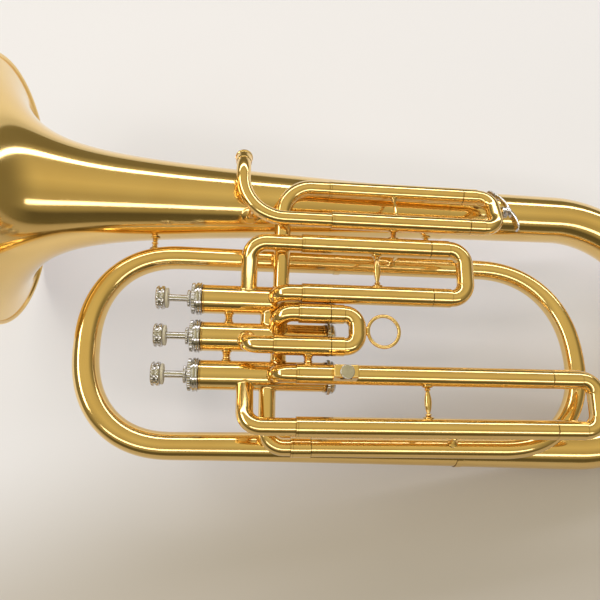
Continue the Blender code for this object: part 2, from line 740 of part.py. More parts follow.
def add_slides():
    """Makes the valve slides and the main slide, each with its outer tubes and crook."""
    z = SLIDE_HEIGHT
    outer = (
        ("slide_1_upper_pipe", 1, PORTS_1[0], SLIDE_1_Y[0], SLIDE_BEND, SLIDE_1_X[:2]),
        ("slide_1_lower_pipe", 1, PORTS_1[1], SLIDE_1_Y[1], ELBOW_BEND, SLIDE_1_X[:2]),
        ("slide_2_upper_pipe", 2, PORTS_2[0], SLIDE_2_Y[0], ELBOW_BEND, SLIDE_2_X[:2]),
        ("slide_2_lower_pipe", 2, PORTS_2[1], SLIDE_2_Y[1], ELBOW_BEND, SLIDE_2_LOWER_X),
        ("slide_3_upper_pipe", 3, PORTS_3[0], SLIDE_3_Y[0], ELBOW_BEND, SLIDE_3_X[:2]),
        ("slide_3_lower_pipe", 3, PORTS_3[1], SLIDE_3_Y[1], SLIDE_BEND, SLIDE_3_X[:2]),
    )
    for name, number, port, y, bend, sleeve in outer:
        add_slide_pipe(name, number, port, y, z, bend, sleeve)
    main_radii = (PIPE_RADIUS, MAIN_SLEEVE_RADIUS)
    add_slide_pipe("valve_entry_pipe", 1, PORT_ENTRY, *MAIN_UPPER, ENTRY_BEND, MAIN_X[:2], main_radii)
    crooks = (
        ("slide_1_crook", SLIDE_1_Y, SLIDE_1_LEG_START, SLIDE_1_X[1:], SLIDE_BEND),
        ("slide_2_crook", SLIDE_2_Y, SLIDE_2_LEG_START, SLIDE_2_X[1:], ELBOW_BEND),
        ("slide_3_crook", SLIDE_3_Y, SLIDE_3_LEG_START, SLIDE_3_X[1:], SLIDE_BEND),
    )
    for name, ys, start, ends, bend in crooks:
        add_slide_crook(name, (ys[0], z), (ys[1], z), start, ends, bend, (LEG_RADIUS, CROOK_RADIUS))
    radii = (MAIN_LEG_RADIUS, MAIN_CROOK_RADIUS)
    add_slide_crook("main_slide_crook", MAIN_UPPER, MAIN_LOWER, MAIN_LEG_START, MAIN_X[1:], MAIN_BEND, radii)


def add_pull_ring():
    """Makes the ring on the second slide's crook."""
    apex = SLIDE_2_X[2] + BAND_LENGTH + ELBOW_BEND + CROOK_RADIUS
    x = apex + GAP + RING_WIRE + RING_RADIUS
    centre = Vector((x, sum(SLIDE_2_Y) / 2, SLIDE_HEIGHT))
    turns = [2 * math.pi * k / RING_STEPS for k in range(RING_STEPS)]
    ring = [centre + RING_RADIUS * Vector((math.cos(t), math.sin(t), 0.0)) for t in turns]
    wire = [(p, RING_WIRE) for p in ring]
    add_swept("slide_2_pull_ring", wire, LACQUER, 0.0, WIRE_SIDES, cyclic=True, origin=centre)


def on_run(x, y, z, radius):
    """A tube along the horn, as a brace's seat."""
    return (Vector((x, y, z)), X_WAY, radius)


def on_bell(x):
    """The bell's outside, as a brace's seat."""
    radius = bell_radius(x - FLANGE_RADIUS - BELL_MOUTH_X) + BELL_WALL / 2
    return (Vector((x, BELL_Y, LOOP_DEPTH)), X_WAY, radius)


def add_braces():
    """Makes the braces that hold the tubes apart."""
    z = SLIDE_HEIGHT
    for upper, x in zip((1, 2), VALVE_BRACES_X):
        seats = [(valve_point(number, x), X_WAY, CASING_RADIUS) for number in (upper, upper + 1)]
        add_brace(f"brace_valves_{upper}_{upper + 1}", *seats)
    pairs = (
        ("brace_slides_2_3", SLIDES_2_3_BRACE_X, SLIDE_2_Y[1], SLIDE_3_Y[0]),
        ("brace_slide_1", SLIDE_1_BRACE_X, *SLIDE_1_Y),
        ("brace_slide_3", SLIDE_3_BRACE_X, *SLIDE_3_Y),
    )
    for name, x, first, second in pairs:
        seats = [on_run(x, y, z, SLEEVE_RADIUS) for y in (first, second)]
        add_brace(name, *seats)
    seats = [on_run(MAIN_SLIDE_BRACE_X, *leg, MAIN_SLEEVE_RADIUS) for leg in (MAIN_UPPER, MAIN_LOWER)]
    add_brace("brace_main_slide", *seats)
    main_leg = on_run(MAIN_TO_SLIDE_1_BRACE_X, *MAIN_LOWER, MAIN_SLEEVE_RADIUS)
    slide_leg = on_run(MAIN_TO_SLIDE_1_BRACE_X, SLIDE_1_Y[0], z, SLEEVE_RADIUS)
    add_brace("brace_main_to_slide_1", main_leg, slide_leg)


def add_loop_braces():
    """Makes the braces that carry the slides and the bell on the main loops."""
    small, large = small_stations(), large_stations()
    slide_1 = on_run(SLIDE_1_TO_LOOP_BRACE_X, SLIDE_1_Y[0], SLIDE_HEIGHT, SLEEVE_RADIUS)
    slide_3 = on_run(SLIDE_3_TO_LOOP_BRACE_X, SLIDE_3_Y[1], SLIDE_HEIGHT, SLEEVE_RADIUS)
    top, low = (LOOP_TOP_Y, LOOP_DEPTH), (LOOP_BOTTOM_Y, BRANCH_HEIGHT)
    braces = (
        ("brace_slide_1_to_loop", slide_1, small, top),
        ("brace_slide_3_to_loop", slide_3, small, low),
        ("brace_bell_to_loop", on_bell(BELL_TO_LOOP_BRACE_X), small, top),
        ("brace_bell_to_bow", on_bell(BELL_TO_BOW_BRACE_X), large, top),
    )
    for name, seat, loop, side in braces:
        place = Vector((seat[0].x, *side))
        add_brace(name, seat, nearest_seat(loop, place))


def add_lyre_socket():
    """Makes the lyre's socket on the third slide's upper tube, and its thumbscrew."""
    y = SLIDE_3_Y[0]
    start, end = LYRE_X
    middle = (start + end) / 2
    base = SLIDE_HEIGHT + SLEEVE_RADIUS * 0.75
    top = base + LYRE_HEIGHT
    size = (end - start, LYRE_WIDTH, LYRE_HEIGHT)
    socket = add_block("lyre_socket", size, (middle, y, (base + top) / 2), LACQUER)
    seat = tube_room("lyre_seat", Vector((middle, y, SLIDE_HEIGHT)), X_WAY, SLEEVE_RADIUS, size[0] * 2)
    combine(socket, seat)
    slot_size = (LYRE_SLOT[0], LYRE_WIDTH * 2, LYRE_SLOT[1])
    slot_z = top - LYRE_ROOF - LYRE_SLOT[1] / 2
    combine(socket, make_cutter(add_block("lyre_slot", slot_size, (middle, y, slot_z), LACQUER)))
    low = Vector((middle, y, slot_z))
    bore = LYRE_SHANK_RADIUS + GAP
    combine(socket, make_cutter(add_rod("lyre_bore", low, low + Z_WAY * LYRE_HEIGHT, bore)))
    reach = LYRE_ROOF + LYRE_SLOT[1] / 3
    profile = [
        (0.0, LYRE_HEAD_HEIGHT),
        (LYRE_HEAD_RADIUS * 0.9, LYRE_HEAD_HEIGHT),
        (LYRE_HEAD_RADIUS, LYRE_HEAD_HEIGHT * 0.8),
        (LYRE_HEAD_RADIUS, LYRE_HEAD_HEIGHT * 0.25),
        (LYRE_HEAD_RADIUS * 0.9, GAP),
        (LYRE_SHANK_RADIUS, GAP),
        (LYRE_SHANK_RADIUS, -reach),
        (0.0, -reach),
    ]
    add_turned("lyre_screw", profile, NICKEL, (middle, y, top), Z_WAY)


def key_ways():
    """Directions across the main slide's crook, from its lower leg, and out of its plane."""
    side = Vector((0.0, MAIN_UPPER[0] - MAIN_LOWER[0], MAIN_UPPER[1] - MAIN_LOWER[1])).normalized()
    return side, X_WAY.cross(side)


def key_point(along, across):
    """Point in the plane of the main slide's crook, measured from the middle of its cross run."""
    side = key_ways()[0]
    middle = (Vector((0.0, *MAIN_UPPER)) + Vector((0.0, *MAIN_LOWER))) / 2
    return middle + X_WAY * (MAIN_X[2] + BAND_LENGTH + MAIN_BEND + along) + side * across


def key_rod(name, half_length, radius):
    """Makes a bar on the water key's hinge line."""
    pivot = key_point(*KEY_PIVOT)
    half = key_ways()[1] * half_length
    return add_rod(name, pivot - half, pivot + half, radius, NICKEL)


def nipple_seat():
    """Place and direction of the nipple on the outer side of the crook's upper bend."""
    side = key_ways()[0]
    half = math.hypot(MAIN_UPPER[0] - MAIN_LOWER[0], MAIN_UPPER[1] - MAIN_LOWER[1]) / 2
    out = X_WAY * math.cos(KEY_CUP_ANGLE) + side * math.sin(KEY_CUP_ANGLE)
    return key_point(-MAIN_BEND, half - MAIN_BEND) + out * (MAIN_BEND + MAIN_CROOK_RADIUS), out


def add_nipple():
    """Makes the nipple on the crook and the cork that closes it."""
    wall, out = nipple_seat()
    nipple = [
        (KEY_HOLE_RADIUS, KEY_NIPPLE_HEIGHT),
        (KEY_NIPPLE_RADIUS, KEY_NIPPLE_HEIGHT),
        (KEY_NIPPLE_RADIUS, GAP),
        (KEY_HOLE_RADIUS, GAP),
    ]
    add_turned("water_key_nipple", nipple, NICKEL, wall, out, KEY_SIDES, closed=True)
    radius = KEY_CUP_RADIUS - KEY_CUP_WALL - GAP
    low, top = KEY_NIPPLE_HEIGHT + GAP, KEY_NIPPLE_HEIGHT + GAP + KEY_CORK_THICK
    cork = [(0.0, top), (radius, top), (radius, low), (0.0, low)]
    add_turned("water_key_cork", cork, CORK, wall, out, KEY_SIDES)


def add_key_lever():
    """Makes the water key's cup, arm, hinge barrel and touch piece, as one body."""
    wall, out = nipple_seat()
    inside = KEY_CUP_RADIUS - KEY_CUP_WALL
    rim = KEY_NIPPLE_HEIGHT + 2 * GAP
    base = rim + KEY_CORK_THICK
    top = base + KEY_CUP_WALL * 1.5
    profile = [
        (0.0, top),
        (KEY_CUP_RADIUS * 0.8, top),
        (KEY_CUP_RADIUS, base),
        (KEY_CUP_RADIUS, rim),
        (inside, rim),
        (inside, base),
        (0.0, base),
    ]
    cup = add_turned("water_key_cup", profile, NICKEL, wall, out, KEY_SIDES)
    path = [wall + out * (base + KEY_ARM_RADIUS * 1.1)] + [key_point(*place) for place in KEY_ARM]
    arm = [(p, KEY_ARM_RADIUS) for p in path]
    origin = key_point(*KEY_PIVOT)
    lever = add_swept("water_key_lever", arm, NICKEL, 0.0, WIRE_SIDES, origin=origin)
    barrel = key_rod("key_barrel", KEY_BARREL_HALF, KEY_BARREL_RADIUS)
    touch = add_block("key_touch", KEY_TOUCH_SIZE, key_point(*KEY_TOUCH), NICKEL, key_turn())
    for part in (cup, barrel, touch):
        combine(lever, make_cutter(part), "UNION")
    return lever


def key_turn():
    """Turn that lays a block in the plane of the main slide's crook."""
    return Matrix((X_WAY, *key_ways())).transposed()


def add_key_saddle():
    """Makes the saddle on the crook, with an ear on each side of the lever's barrel."""
    x, y = KEY_PIVOT
    ear_end = x + KEY_BARREL_RADIUS
    ear_size = (ear_end, KEY_BARREL_RADIUS * 2, KEY_EAR_HALF * 2)
    saddle = add_block("water_key_saddle", ear_size, key_point(ear_end / 2, y), NICKEL, key_turn())
    gate_start = x - KEY_BARREL_RADIUS - GAP * 2
    gate_side = KEY_BARREL_RADIUS * 6
    gate_size = (gate_side, gate_side, (KEY_BARREL_HALF + GAP) * 2)
    gate_place = key_point(gate_start + gate_side / 2, y)
    gate = add_block("key_gate", gate_size, gate_place, NICKEL, key_turn())
    combine(saddle, make_cutter(gate))
    combine(saddle, tube_room("saddle_seat", key_point(0.0, 0.0), key_ways()[0], MAIN_CROOK_RADIUS))
    return saddle


def add_water_key():
    """Makes the water key on the main slide's crook."""
    add_nipple()
    bore = make_cutter(key_rod("key_bore", KEY_EAR_HALF * 2, KEY_PIN_RADIUS + GAP))
    combine(add_key_lever(), bore)
    combine(add_key_saddle(), bore)
    key_rod("water_key_pin", KEY_EAR_HALF + GAP, KEY_PIN_RADIUS)


def settle():
    """Turns the horn as it lies, and stands its bounding box on the world's origin."""
    FRAME.rotation_euler = (LIE_ROLL, LIE_PITCH, 0.0)
    bpy.context.view_layer.update()
    view = bpy.context.evaluated_depsgraph_get()
    low = Vector((math.inf, math.inf, math.inf))
    high = -low
    for piece in HORN.objects:
        if piece.type != "MESH":
            continue
        seen = piece.evaluated_get(view)
        for corner in seen.data.vertices:
            place = piece.matrix_world @ corner.co
            low = Vector(map(min, low, place))
            high = Vector(map(max, high, place))
    FRAME.location = (-(low.x + high.x) / 2, -(low.y + high.y) / 2, -low.z)
    bpy.context.view_layer.update()


add_bell()
add_bottom_bow()
add_swept("large_branch", large_stations(), LACQUER, sides=BIG_SIDES)
add_swept("small_branch", small_stations(), LACQUER, sides=BRANCH_SIDES)
add_exit_pipe()
add_leadpipe()
add_leadpipe_post()
add_valves()
add_slides()
add_pull_ring()
add_braces()
add_loop_braces()
add_lyre_socket()
add_water_key()
settle()
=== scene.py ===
"""Looks of an alto horn with three piston valves: fine surfaces, finishes, light and camera.

Sizes are in millimetres in the horn's own frame: +x runs down the valves towards the bottom
bow, +y runs across the loops to the bell, and +z points away from the surface that the horn
lies on. Its origin is the middle of the second valve's top. One class, Lie, turns that frame
as the horn lies and gives the places in metres.
"""

from __future__ import annotations

import logging
import math
from abc import ABC, abstractmethod
from dataclasses import dataclass, field
from enum import Enum
from typing import Any, Optional, Sequence, Union

import bmesh
import bpy
import numpy as np
from mathutils import Matrix
from numpy.typing import NDArray


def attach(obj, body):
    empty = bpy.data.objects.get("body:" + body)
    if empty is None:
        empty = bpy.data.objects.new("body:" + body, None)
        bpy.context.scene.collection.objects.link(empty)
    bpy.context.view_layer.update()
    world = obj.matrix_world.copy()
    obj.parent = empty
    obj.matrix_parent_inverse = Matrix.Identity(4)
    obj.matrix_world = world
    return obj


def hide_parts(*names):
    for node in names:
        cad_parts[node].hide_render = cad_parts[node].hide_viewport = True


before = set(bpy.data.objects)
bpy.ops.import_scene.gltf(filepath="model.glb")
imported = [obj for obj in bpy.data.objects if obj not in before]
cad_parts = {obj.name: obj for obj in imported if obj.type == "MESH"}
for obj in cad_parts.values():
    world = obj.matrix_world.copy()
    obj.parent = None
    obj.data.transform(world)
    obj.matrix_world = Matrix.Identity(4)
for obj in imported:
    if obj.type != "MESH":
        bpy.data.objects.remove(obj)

LOG = logging.getLogger("alto_horn")
Array = NDArray[np.float64]
Triple = tuple[float, float, float]
X_WAY: Triple = (1.0, 0.0, 0.0)
Y_WAY: Triple = (0.0, 1.0, 0.0)
Z_WAY: Triple = (0.0, 0.0, 1.0)
# Gap that keeps seated pieces apart.
CLEAR = 0.05


class Slot(Enum):
    """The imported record's material slots."""

    BRASS = "lacquered_brass"
    NICKEL = "nickel"
    FELT = "felt"
    CORK = "cork"


# Shapes


def unit(vectors: Union[Array, Sequence[float]]) -> Array:
    """Vectors at length one."""
    many = np.asarray(vectors, dtype=float)
    return many / np.linalg.norm(many, axis=-1, keepdims=True)


@dataclass(frozen=True)
class Lie:
    """How the horn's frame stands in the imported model: its turn in degrees and its origin in metres."""

    roll: float = 7.2
    pitch: float = 7.29
    origin: Triple = (-0.1148446, -0.0631885, 0.0873756)

    def turn(self) -> Array:
        """How the horn's frame is turned: first the roll about x, then the pitch about y.

        Returns:
            The rotation matrix.
        """
        roll = Matrix.Rotation(math.radians(self.roll), 3, "X")
        pitch = Matrix.Rotation(math.radians(self.pitch), 3, "Y")
        return np.array(pitch @ roll)

    def place(self, points: Array) -> Array:
        """World places in metres of points in the horn's frame."""
        return points * 0.001 @ self.turn().T + np.array(self.origin)


@dataclass(frozen=True)
class Shell:
    """A closed surface of four-sided faces, with a painted shade from 0 to 1 at each point that darkens its
    seams and creases.
    """

    points: Array
    faces: NDArray[np.int64]
    seam: Array


def shell_of(grid: Array, loop: bool, seam: Optional[Array] = None) -> Shell:
    """Skins a grid of rings, with its faces turned outwards.

    Face (i, j) joins points (i, j), (i, j+1), (i+1, j+1) and (i+1, j), and the columns close
    on themselves. The enclosed volume is a sixth of the sum of each triangle's triple
    product, and where it is negative all the faces are turned round.

    Args:
        grid: Points as an array of rings, columns and coordinates.
        loop: Whether the last ring joins the first. Otherwise the end rings are points.
        seam: One painted shade for each ring, darkening its seams and creases.

    Returns:
        The closed shell.
    """
    rings, columns, _ = grid.shape
    first, across = np.meshgrid(np.arange(rings if loop else rings - 1), np.arange(columns), indexing="ij")
    after, beside = (first + 1) % rings, (across + 1) % columns
    corners = ((first, across), (first, beside), (after, beside), (after, across))
    faces = np.stack([row * columns + column for row, column in corners], axis=-1).reshape(-1, 4)
    points = grid.reshape(-1, 3)
    a, b, c, d = (points[faces[:, k]] for k in range(4))
    volume = (a * np.cross(b, c)).sum() + (a * np.cross(c, d)).sum()
    shades = np.zeros(rings) if seam is None else np.asarray(seam, dtype=float)
    return Shell(points, faces if volume > 0 else faces[:, ::-1], np.repeat(shades, columns))


@dataclass(frozen=True)
class Stations:
    """A round tube's path, with the tube's radius and a painted shade for seams and creases at each point."""

    path: Array
    radii: Array
    seam: Array

    @staticmethod
    def along(path: Array, radii: Union[float, Array]) -> Stations:
        """Stations on a path, without painted shade for seams and creases."""
        size = np.broadcast_to(np.asarray(radii, dtype=float), (len(path),)).copy()
        return Stations(np.asarray(path, dtype=float), size, np.zeros(len(path)))

    @staticmethod
    def straight(start: Sequence[float], way: Sequence[float], marks: Sequence[Sequence[float]]) -> Stations:
        """Stations on a straight line.

        Args:
            start: Where the line starts.
            way: Its unit direction.
            marks: Distance, radius and painted shade for seams and creases of each station.

        Returns:
            The stations.
        """
        table = np.asarray(marks, dtype=float)
        path = np.asarray(start, dtype=float) + table[:, :1] * np.asarray(way, dtype=float)
        return Stations(path, table[:, 1], table[:, 2])

    def then(self, *others: Stations) -> Stations:
        """These stations with others after them.

        Args:
            others: The stations that follow, in order.

        Returns:
            All of them as one run.
        """
        every = (self, *others)
        path = np.vstack([item.path for item in every])
        radii = np.concatenate([item.radii for item in every])
        return Stations(path, radii, np.concatenate([item.seam for item in every]))

    def backwards(self) -> Stations:
        """The same stations from the other end."""
        return Stations(self.path[::-1], self.radii[::-1], self.seam[::-1])


def filleted(corners: Sequence[Sequence[float]], radii: Sequence[float], steps: int = 24) -> Array:
    """A path of straight runs with an arc at each inner corner.

    The arc's point at angle t is centre - r cos(t) inward + r sin(t) before, where `before`
    is the run's direction and `inward` points from the arc to its centre.

    Args:
        corners: The runs' ends.
        radii: The arc's radius at each inner corner.
        steps: Steps on each arc.

    Returns:
        Points of the path.
    """
    knots = np.asarray(corners, dtype=float)
    way = unit(np.diff(knots, axis=0))
    before, after = way[:-1], way[1:]
    full = np.arccos(np.clip((before * after).sum(axis=-1), -1.0, 1.0))[:, None]
    size = np.asarray(radii, dtype=float)[:, None]
    inward = (after - before * np.cos(full)) / np.sin(full)
    centre = knots[1:-1] - before * size * np.tan(full / 2) + inward * size
    turn = full * np.linspace(0.0, 1.0, steps + 1)
    swing = inward[:, None] * np.cos(turn)[..., None] - before[:, None] * np.sin(turn)[..., None]
    arcs = centre[:, None] - size[:, None] * swing
    return np.vstack((knots[:1], arcs.reshape(-1, 3), knots[-1:]))


def smoothed(knots: Sequence[Sequence[float]], steps: int = 8) -> Array:
    """A smooth path through knots: on each span the cubic whose end slopes are the neighbours' halves.

    Args:
        knots: The points that the path runs through.
        steps: Steps on each span.

    Returns:
        Points of the path.
    """
    main = np.asarray(knots, dtype=float)
    slope = np.gradient(main, axis=0)
    t = np.linspace(0.0, 1.0, steps, endpoint=False)[None, :, None]
    start, end = main[:-1, None], main[1:, None]
    low, high = slope[:-1, None], slope[1:, None]
    span = start * (2 * t**3 - 3 * t**2 + 1) + low * (t**3 - 2 * t**2 + t)
    span = span + end * (3 * t**2 - 2 * t**3) + high * (t**3 - t**2)
    return np.vstack((span.reshape(-1, main.shape[1]), main[-1:]))


def rings_on(path: Array, radii: Array, sides: int, up: Sequence[float], cyclic: bool = False) -> Array:
    """Round rings square to a path.

    Ring i's point at angle a is path_i + radius_i (cos(a) side_i + sin(a) over_i), where
    side_i is square to the path and to `up`, and over_i is square to both.

    Args:
        path: Points of the centre line.
        radii: The ring's radius at each point.
        sides: Points on each ring.
        up: A direction that the path never runs along.
        cyclic: Whether the path closes on itself.

    Returns:
        Points as an array of rings, columns and coordinates.
    """
    if cyclic:
        way = unit(np.roll(path, -1, axis=0) - np.roll(path, 1, axis=0))
    else:
        way = unit(np.gradient(path, axis=0))
    side = unit(np.cross(way, np.asarray(up, dtype=float)))
    over = np.cross(side, way)
    angle = np.linspace(0.0, 2.0 * math.pi, sides, endpoint=False)
    circle = np.cos(angle)[None, :, None] * side[:, None] + np.sin(angle)[None, :, None] * over[:, None]
    return path[:, None] + radii[:, None, None] * circle


@dataclass(frozen=True)
class Seat:
    """A tube's outside where something stands on it: a point of its axis, its direction and radius."""

    point: Triple
    way: Triple
    radius: float

    def hold(self, grid: Array, way: Array, reach: float) -> Array:
        """Bends the near rings of a tube so that its end lies on this seat.

        A point at distance t beside the seat's axis moves back along the tube by
        R - sqrt(R^2 - t^2), and the move fades to nothing at `reach` above the seat.

        Args:
            grid: The tube's rings.
            way: The tube's direction away from the seat.
            reach: Height at which the bending ends.

        Returns:
            The bent rings.
        """
        offset = grid - np.asarray(self.point)
        height = offset @ way - self.radius
        beside = np.abs(offset @ unit(np.cross(np.asarray(self.way), way)))
        drop = self.radius - np.sqrt(np.maximum(self.radius**2 - beside**2, 0.0))
        share = np.clip(1.0 - height / reach, 0.0, 1.0)
        return grid - (drop * share)[..., None] * way


def kept_flat(table: Array, size: int, loop: bool = False, near: float = 0.35, long: float = 3.0) -> Array:
    """Rows with two more on each long span, close to its ends, so that it shades flat between them.

    Row k + t is row k moved the share t of the way to row k + 1.

    Args:
        table: The rows.
        size: How many of the first columns are lengths.
        loop: Whether the last row joins the first.
        near: Distance of the new rows from the ends of the span.
        long: Spans longer than this get them.

    Returns:
        The rows with the new ones between them.
    """
    rows = np.vstack((table, table[:1])) if loop else table
    step = np.linalg.norm(np.diff(rows[:, :size], axis=0), axis=1)
    index = np.arange(len(rows), dtype=float)
    wide = np.flatnonzero(step > long)
    share = near / step[wide]
    places = np.sort(np.concatenate((index, wide + share, wide + 1.0 - share)))
    full = np.stack([np.interp(places, index, column) for column in rows.T], axis=-1)
    return full[:-1] if loop else full


def tube(stations: Stations, wall: float, sides: int = 48, up: Sequence[float] = Z_WAY, cyclic: bool = False,
         seats: Sequence[tuple[Seat, Array, float]] = ()) -> Shell:
    """Makes a tube along stations: the outer rings, then the inner rings back to the start.

    Args:
        stations: Path, radii and painted shades for seams and creases.
        wall: Thickness of the wall, or 0 for a solid bar with pointed end rings.
        sides: Points on each ring.
        up: A direction that the path never runs along.
        cyclic: Whether the path closes on itself, which makes a solid ring.
        seats: What the ends stand on, each with the tube's direction there and the reach.

    Returns:
        The closed shell.
    """
    if cyclic:
        return shell_of(rings_on(stations.path, stations.radii, sides, up, True), True, stations.seam)
    table = kept_flat(np.column_stack((stations.path, stations.radii, stations.seam)), 3)
    stations = Stations(table[:, :3], table[:, 3], table[:, 4])
    outer = rings_on(stations.path, stations.radii, sides, up)
    if wall:
        inner = rings_on(stations.path, np.maximum(stations.radii - wall, 0.2), sides, up)
        grid = np.concatenate((outer, inner[::-1]))
        seam = np.concatenate((stations.seam, np.zeros(len(inner))))
    else:
        ends = [np.repeat(stations.path[k][None, None], sides, axis=1) for k in (0, -1)]
        grid = np.concatenate((ends[0], outer, ends[1]))
        seam = np.concatenate(([0.0], stations.seam, [0.0]))
    for seat, way, reach in seats:
        grid = seat.hold(grid, way, reach)
    return shell_of(grid, bool(wall), seam)


@dataclass(frozen=True)
class Knurl:
    """Straight knurling: teeth round a turned piece, cut between two heights."""

    teeth: int
    depth: float
    low: float
    high: float

    def cut(self, radius: Array, height: Array, angle: Array) -> Array:
        """Radii with each tooth a rounded ridge, depth (1 - |sin(teeth angle / 2)|) below the blank.

        Args:
            radius: Radius of the blank at each row.
            height: Height of each row.
            angle: Angle of each column.

        Returns:
            The radius of each row and column.
        """
        inside = (height > self.low) & (height < self.high)
        groove = 1.0 - np.abs(np.sin(self.teeth * angle / 2.0))
        return radius[:, None] - self.depth * inside[:, None] * groove[None, :]


def turned(profile: Sequence[Sequence[float]], origin: Sequence[float], axis: Sequence[float],
           sides: int = 64, loop: bool = False, knurls: Sequence[Knurl] = ()) -> Shell:
    """Turns a profile about an axis.

    The point of row i at angle a is origin + h_i axis + r_i (cos(a) e + sin(a) f), where e
    and f are square to the axis.

    Args:
        profile: Radius and height of each row, with a painted shade for seams and creases as an optional
            third value.
        origin: Where the height is nought.
        axis: Direction of the height.
        sides: Points on each row.
        loop: Whether the profile closes on itself. Otherwise it starts and ends on the axis.
        knurls: Bands of teeth to cut.

    Returns:
        The closed shell.
    """
    table = kept_flat(np.asarray(profile, dtype=float), 2, loop)
    way = unit(axis)
    helper = np.asarray(Z_WAY if abs(way[2]) < 0.9 else X_WAY)
    e = unit(np.cross(way, helper))
    f = np.cross(way, e)
    angle = np.linspace(0.0, 2.0 * math.pi, sides, endpoint=False)
    radius = np.repeat(table[:, :1], sides, axis=1)
    for knurl in knurls:
        radius = np.minimum(radius, knurl.cut(table[:, 0], table[:, 1], angle))
    circle = np.cos(angle)[:, None] * e + np.sin(angle)[:, None] * f
    grid = np.asarray(origin) + table[:, 1, None, None] * way + radius[..., None] * circle
    return shell_of(grid, loop, table[:, 2] if table.shape[1] > 2 else None)


def eased(profile: Sequence[Sequence[float]], radius: float = 0.25, steps: int = 4,
          loop: bool = False) -> Array:
    """Rounds the corners of a profile.

    Each inner corner C becomes the curve (1-t)^2 A + 2t(1-t) C + t^2 B, where A and B lie on
    its two sides, `radius` away or at most 0.45 of the side.

    Args:
        profile: Corners of the profile.
        radius: How far from the corner the rounding starts.
        steps: Points on each rounded corner.
        loop: Whether the profile closes on itself.

    Returns:
        Points of the rounded profile.
    """
    main = np.asarray(profile, dtype=float)
    before = np.roll(main, 1, axis=0) - main
    after = np.roll(main, -1, axis=0) - main
    far = [np.linalg.norm(side, axis=1, keepdims=True) for side in (before, after)]
    start = main + before / far[0] * np.minimum(radius, far[0] * 0.45)
    end = main + after / far[1] * np.minimum(radius, far[1] * 0.45)
    t = np.linspace(0.0, 1.0, steps)[None, :, None]
    curve = (1 - t) ** 2 * start[:, None] + 2 * t * (1 - t) * main[:, None] + t**2 * end[:, None]
    if loop:
        return curve.reshape(-1, main.shape[1])
    inner = curve[1:-1].reshape(-1, main.shape[1])
    return np.vstack((main[:1], inner, main[-1:]))


def lump(centre: Sequence[float], half: Sequence[float], axes: Array, squareness: float = 0.35,
         rings: int = 24, sides: int = 40) -> Shell:
    """Makes a softened block: a superellipsoid.

    Its point is centre + sum of half_k s_k axis_k with s = (c(u) c(v), c(u) s(v), s(u)),
    where c and s are the cosine and sine with their size raised to `squareness`.

    Args:
        centre: Middle of the block.
        half: Half its length along each axis.
        axes: Three unit directions as rows.
        squareness: 1 gives an ellipsoid and small values a crisp block.
        rings: Rows from pole to pole.
        sides: Points on each row.

    Returns:
        The closed shell.
    """
    u = np.linspace(-math.pi / 2, math.pi / 2, rings)[:, None]
    v = np.linspace(0.0, 2.0 * math.pi, sides, endpoint=False)[None, :]

    def sharp(value: Array) -> Array:
        """The value with its size raised to the squareness."""
        return np.sign(value) * np.abs(value) ** squareness

    wide = np.where(np.abs(np.cos(u)) < 1e-9, 0.0, sharp(np.cos(u)))
    parts = (wide * sharp(np.cos(v)), wide * sharp(np.sin(v)), sharp(np.sin(u)) * np.ones_like(v))
    local = np.stack([size * part for size, part in zip(half, parts)], axis=-1)
    return shell_of(np.asarray(centre) + local @ np.asarray(axes), False)


def strap(path: Array, sizes: Sequence[Triple], up: Sequence[float], sides: int = 36) -> Shell:
    """Makes a flat bar along a path, with rounded edges.

    The point of ring i at angle a is path_i + thick_i c(a) side_i + wide_i s(a) over_i, where
    c and s are the cosine and sine with their size raised to 0.6, over_i runs along `up`,
    and side_i is square to it and to the path.

    Args:
        path: Points of the centre line.
        sizes: Share of the path, half thickness and half width, in order of the share.
        up: Direction of the width.
        sides: Points on each ring.

    Returns:
        The closed shell.
    """
    run = np.concatenate(([0.0], np.cumsum(np.linalg.norm(np.diff(path, axis=0), axis=1))))
    table = np.asarray(sizes, dtype=float)
    thick, wide = (np.interp(run / run[-1], table[:, 0], table[:, k])[:, None, None] for k in (1, 2))
    way = unit(np.gradient(path, axis=0))
    side = unit(np.cross(way, np.asarray(up, dtype=float)))[:, None]
    over = np.cross(side, way[:, None])
    angle = np.linspace(0.0, 2.0 * math.pi, sides, endpoint=False)
    soft = [(np.sign(wave) * np.abs(wave) ** 0.6)[None, :, None] for wave in (np.cos(angle), np.sin(angle))]
    grid = path[:, None] + thick * soft[0] * side + wide * soft[1] * over
    ends = [np.repeat(path[k][None, None], sides, axis=1) for k in (0, -1)]
    return shell_of(np.concatenate((ends[0], grid, ends[1])), False)


def band(start: float, end: float, radius: float, rise: float) -> list[Triple]:
    """Marks of a raised band with eased edges and painted shade in the crease at each end.

    Args:
        start: Distance of its start.
        end: Distance of its end.
        radius: Radius of the tube under it.
        rise: Its height above the tube.

    Returns:
        Distance, radius and painted shade for seams and creases of each mark.
    """
    edge = min(0.45, (end - start) / 4)
    # The third value paints shade into the crease where the band meets the tube.
    steps = ((0.0, 0.0, 1.0), (0.04, 0.55, 0.9), (edge * 0.4, 0.9, 0.0), (edge, 1.0, 0.0))
    rising = [(start + far, radius + rise * part, shade) for far, part, shade in steps]
    falling = [(end - far, radius + rise * part, shade) for far, part, shade in reversed(steps)]
    return rising + falling


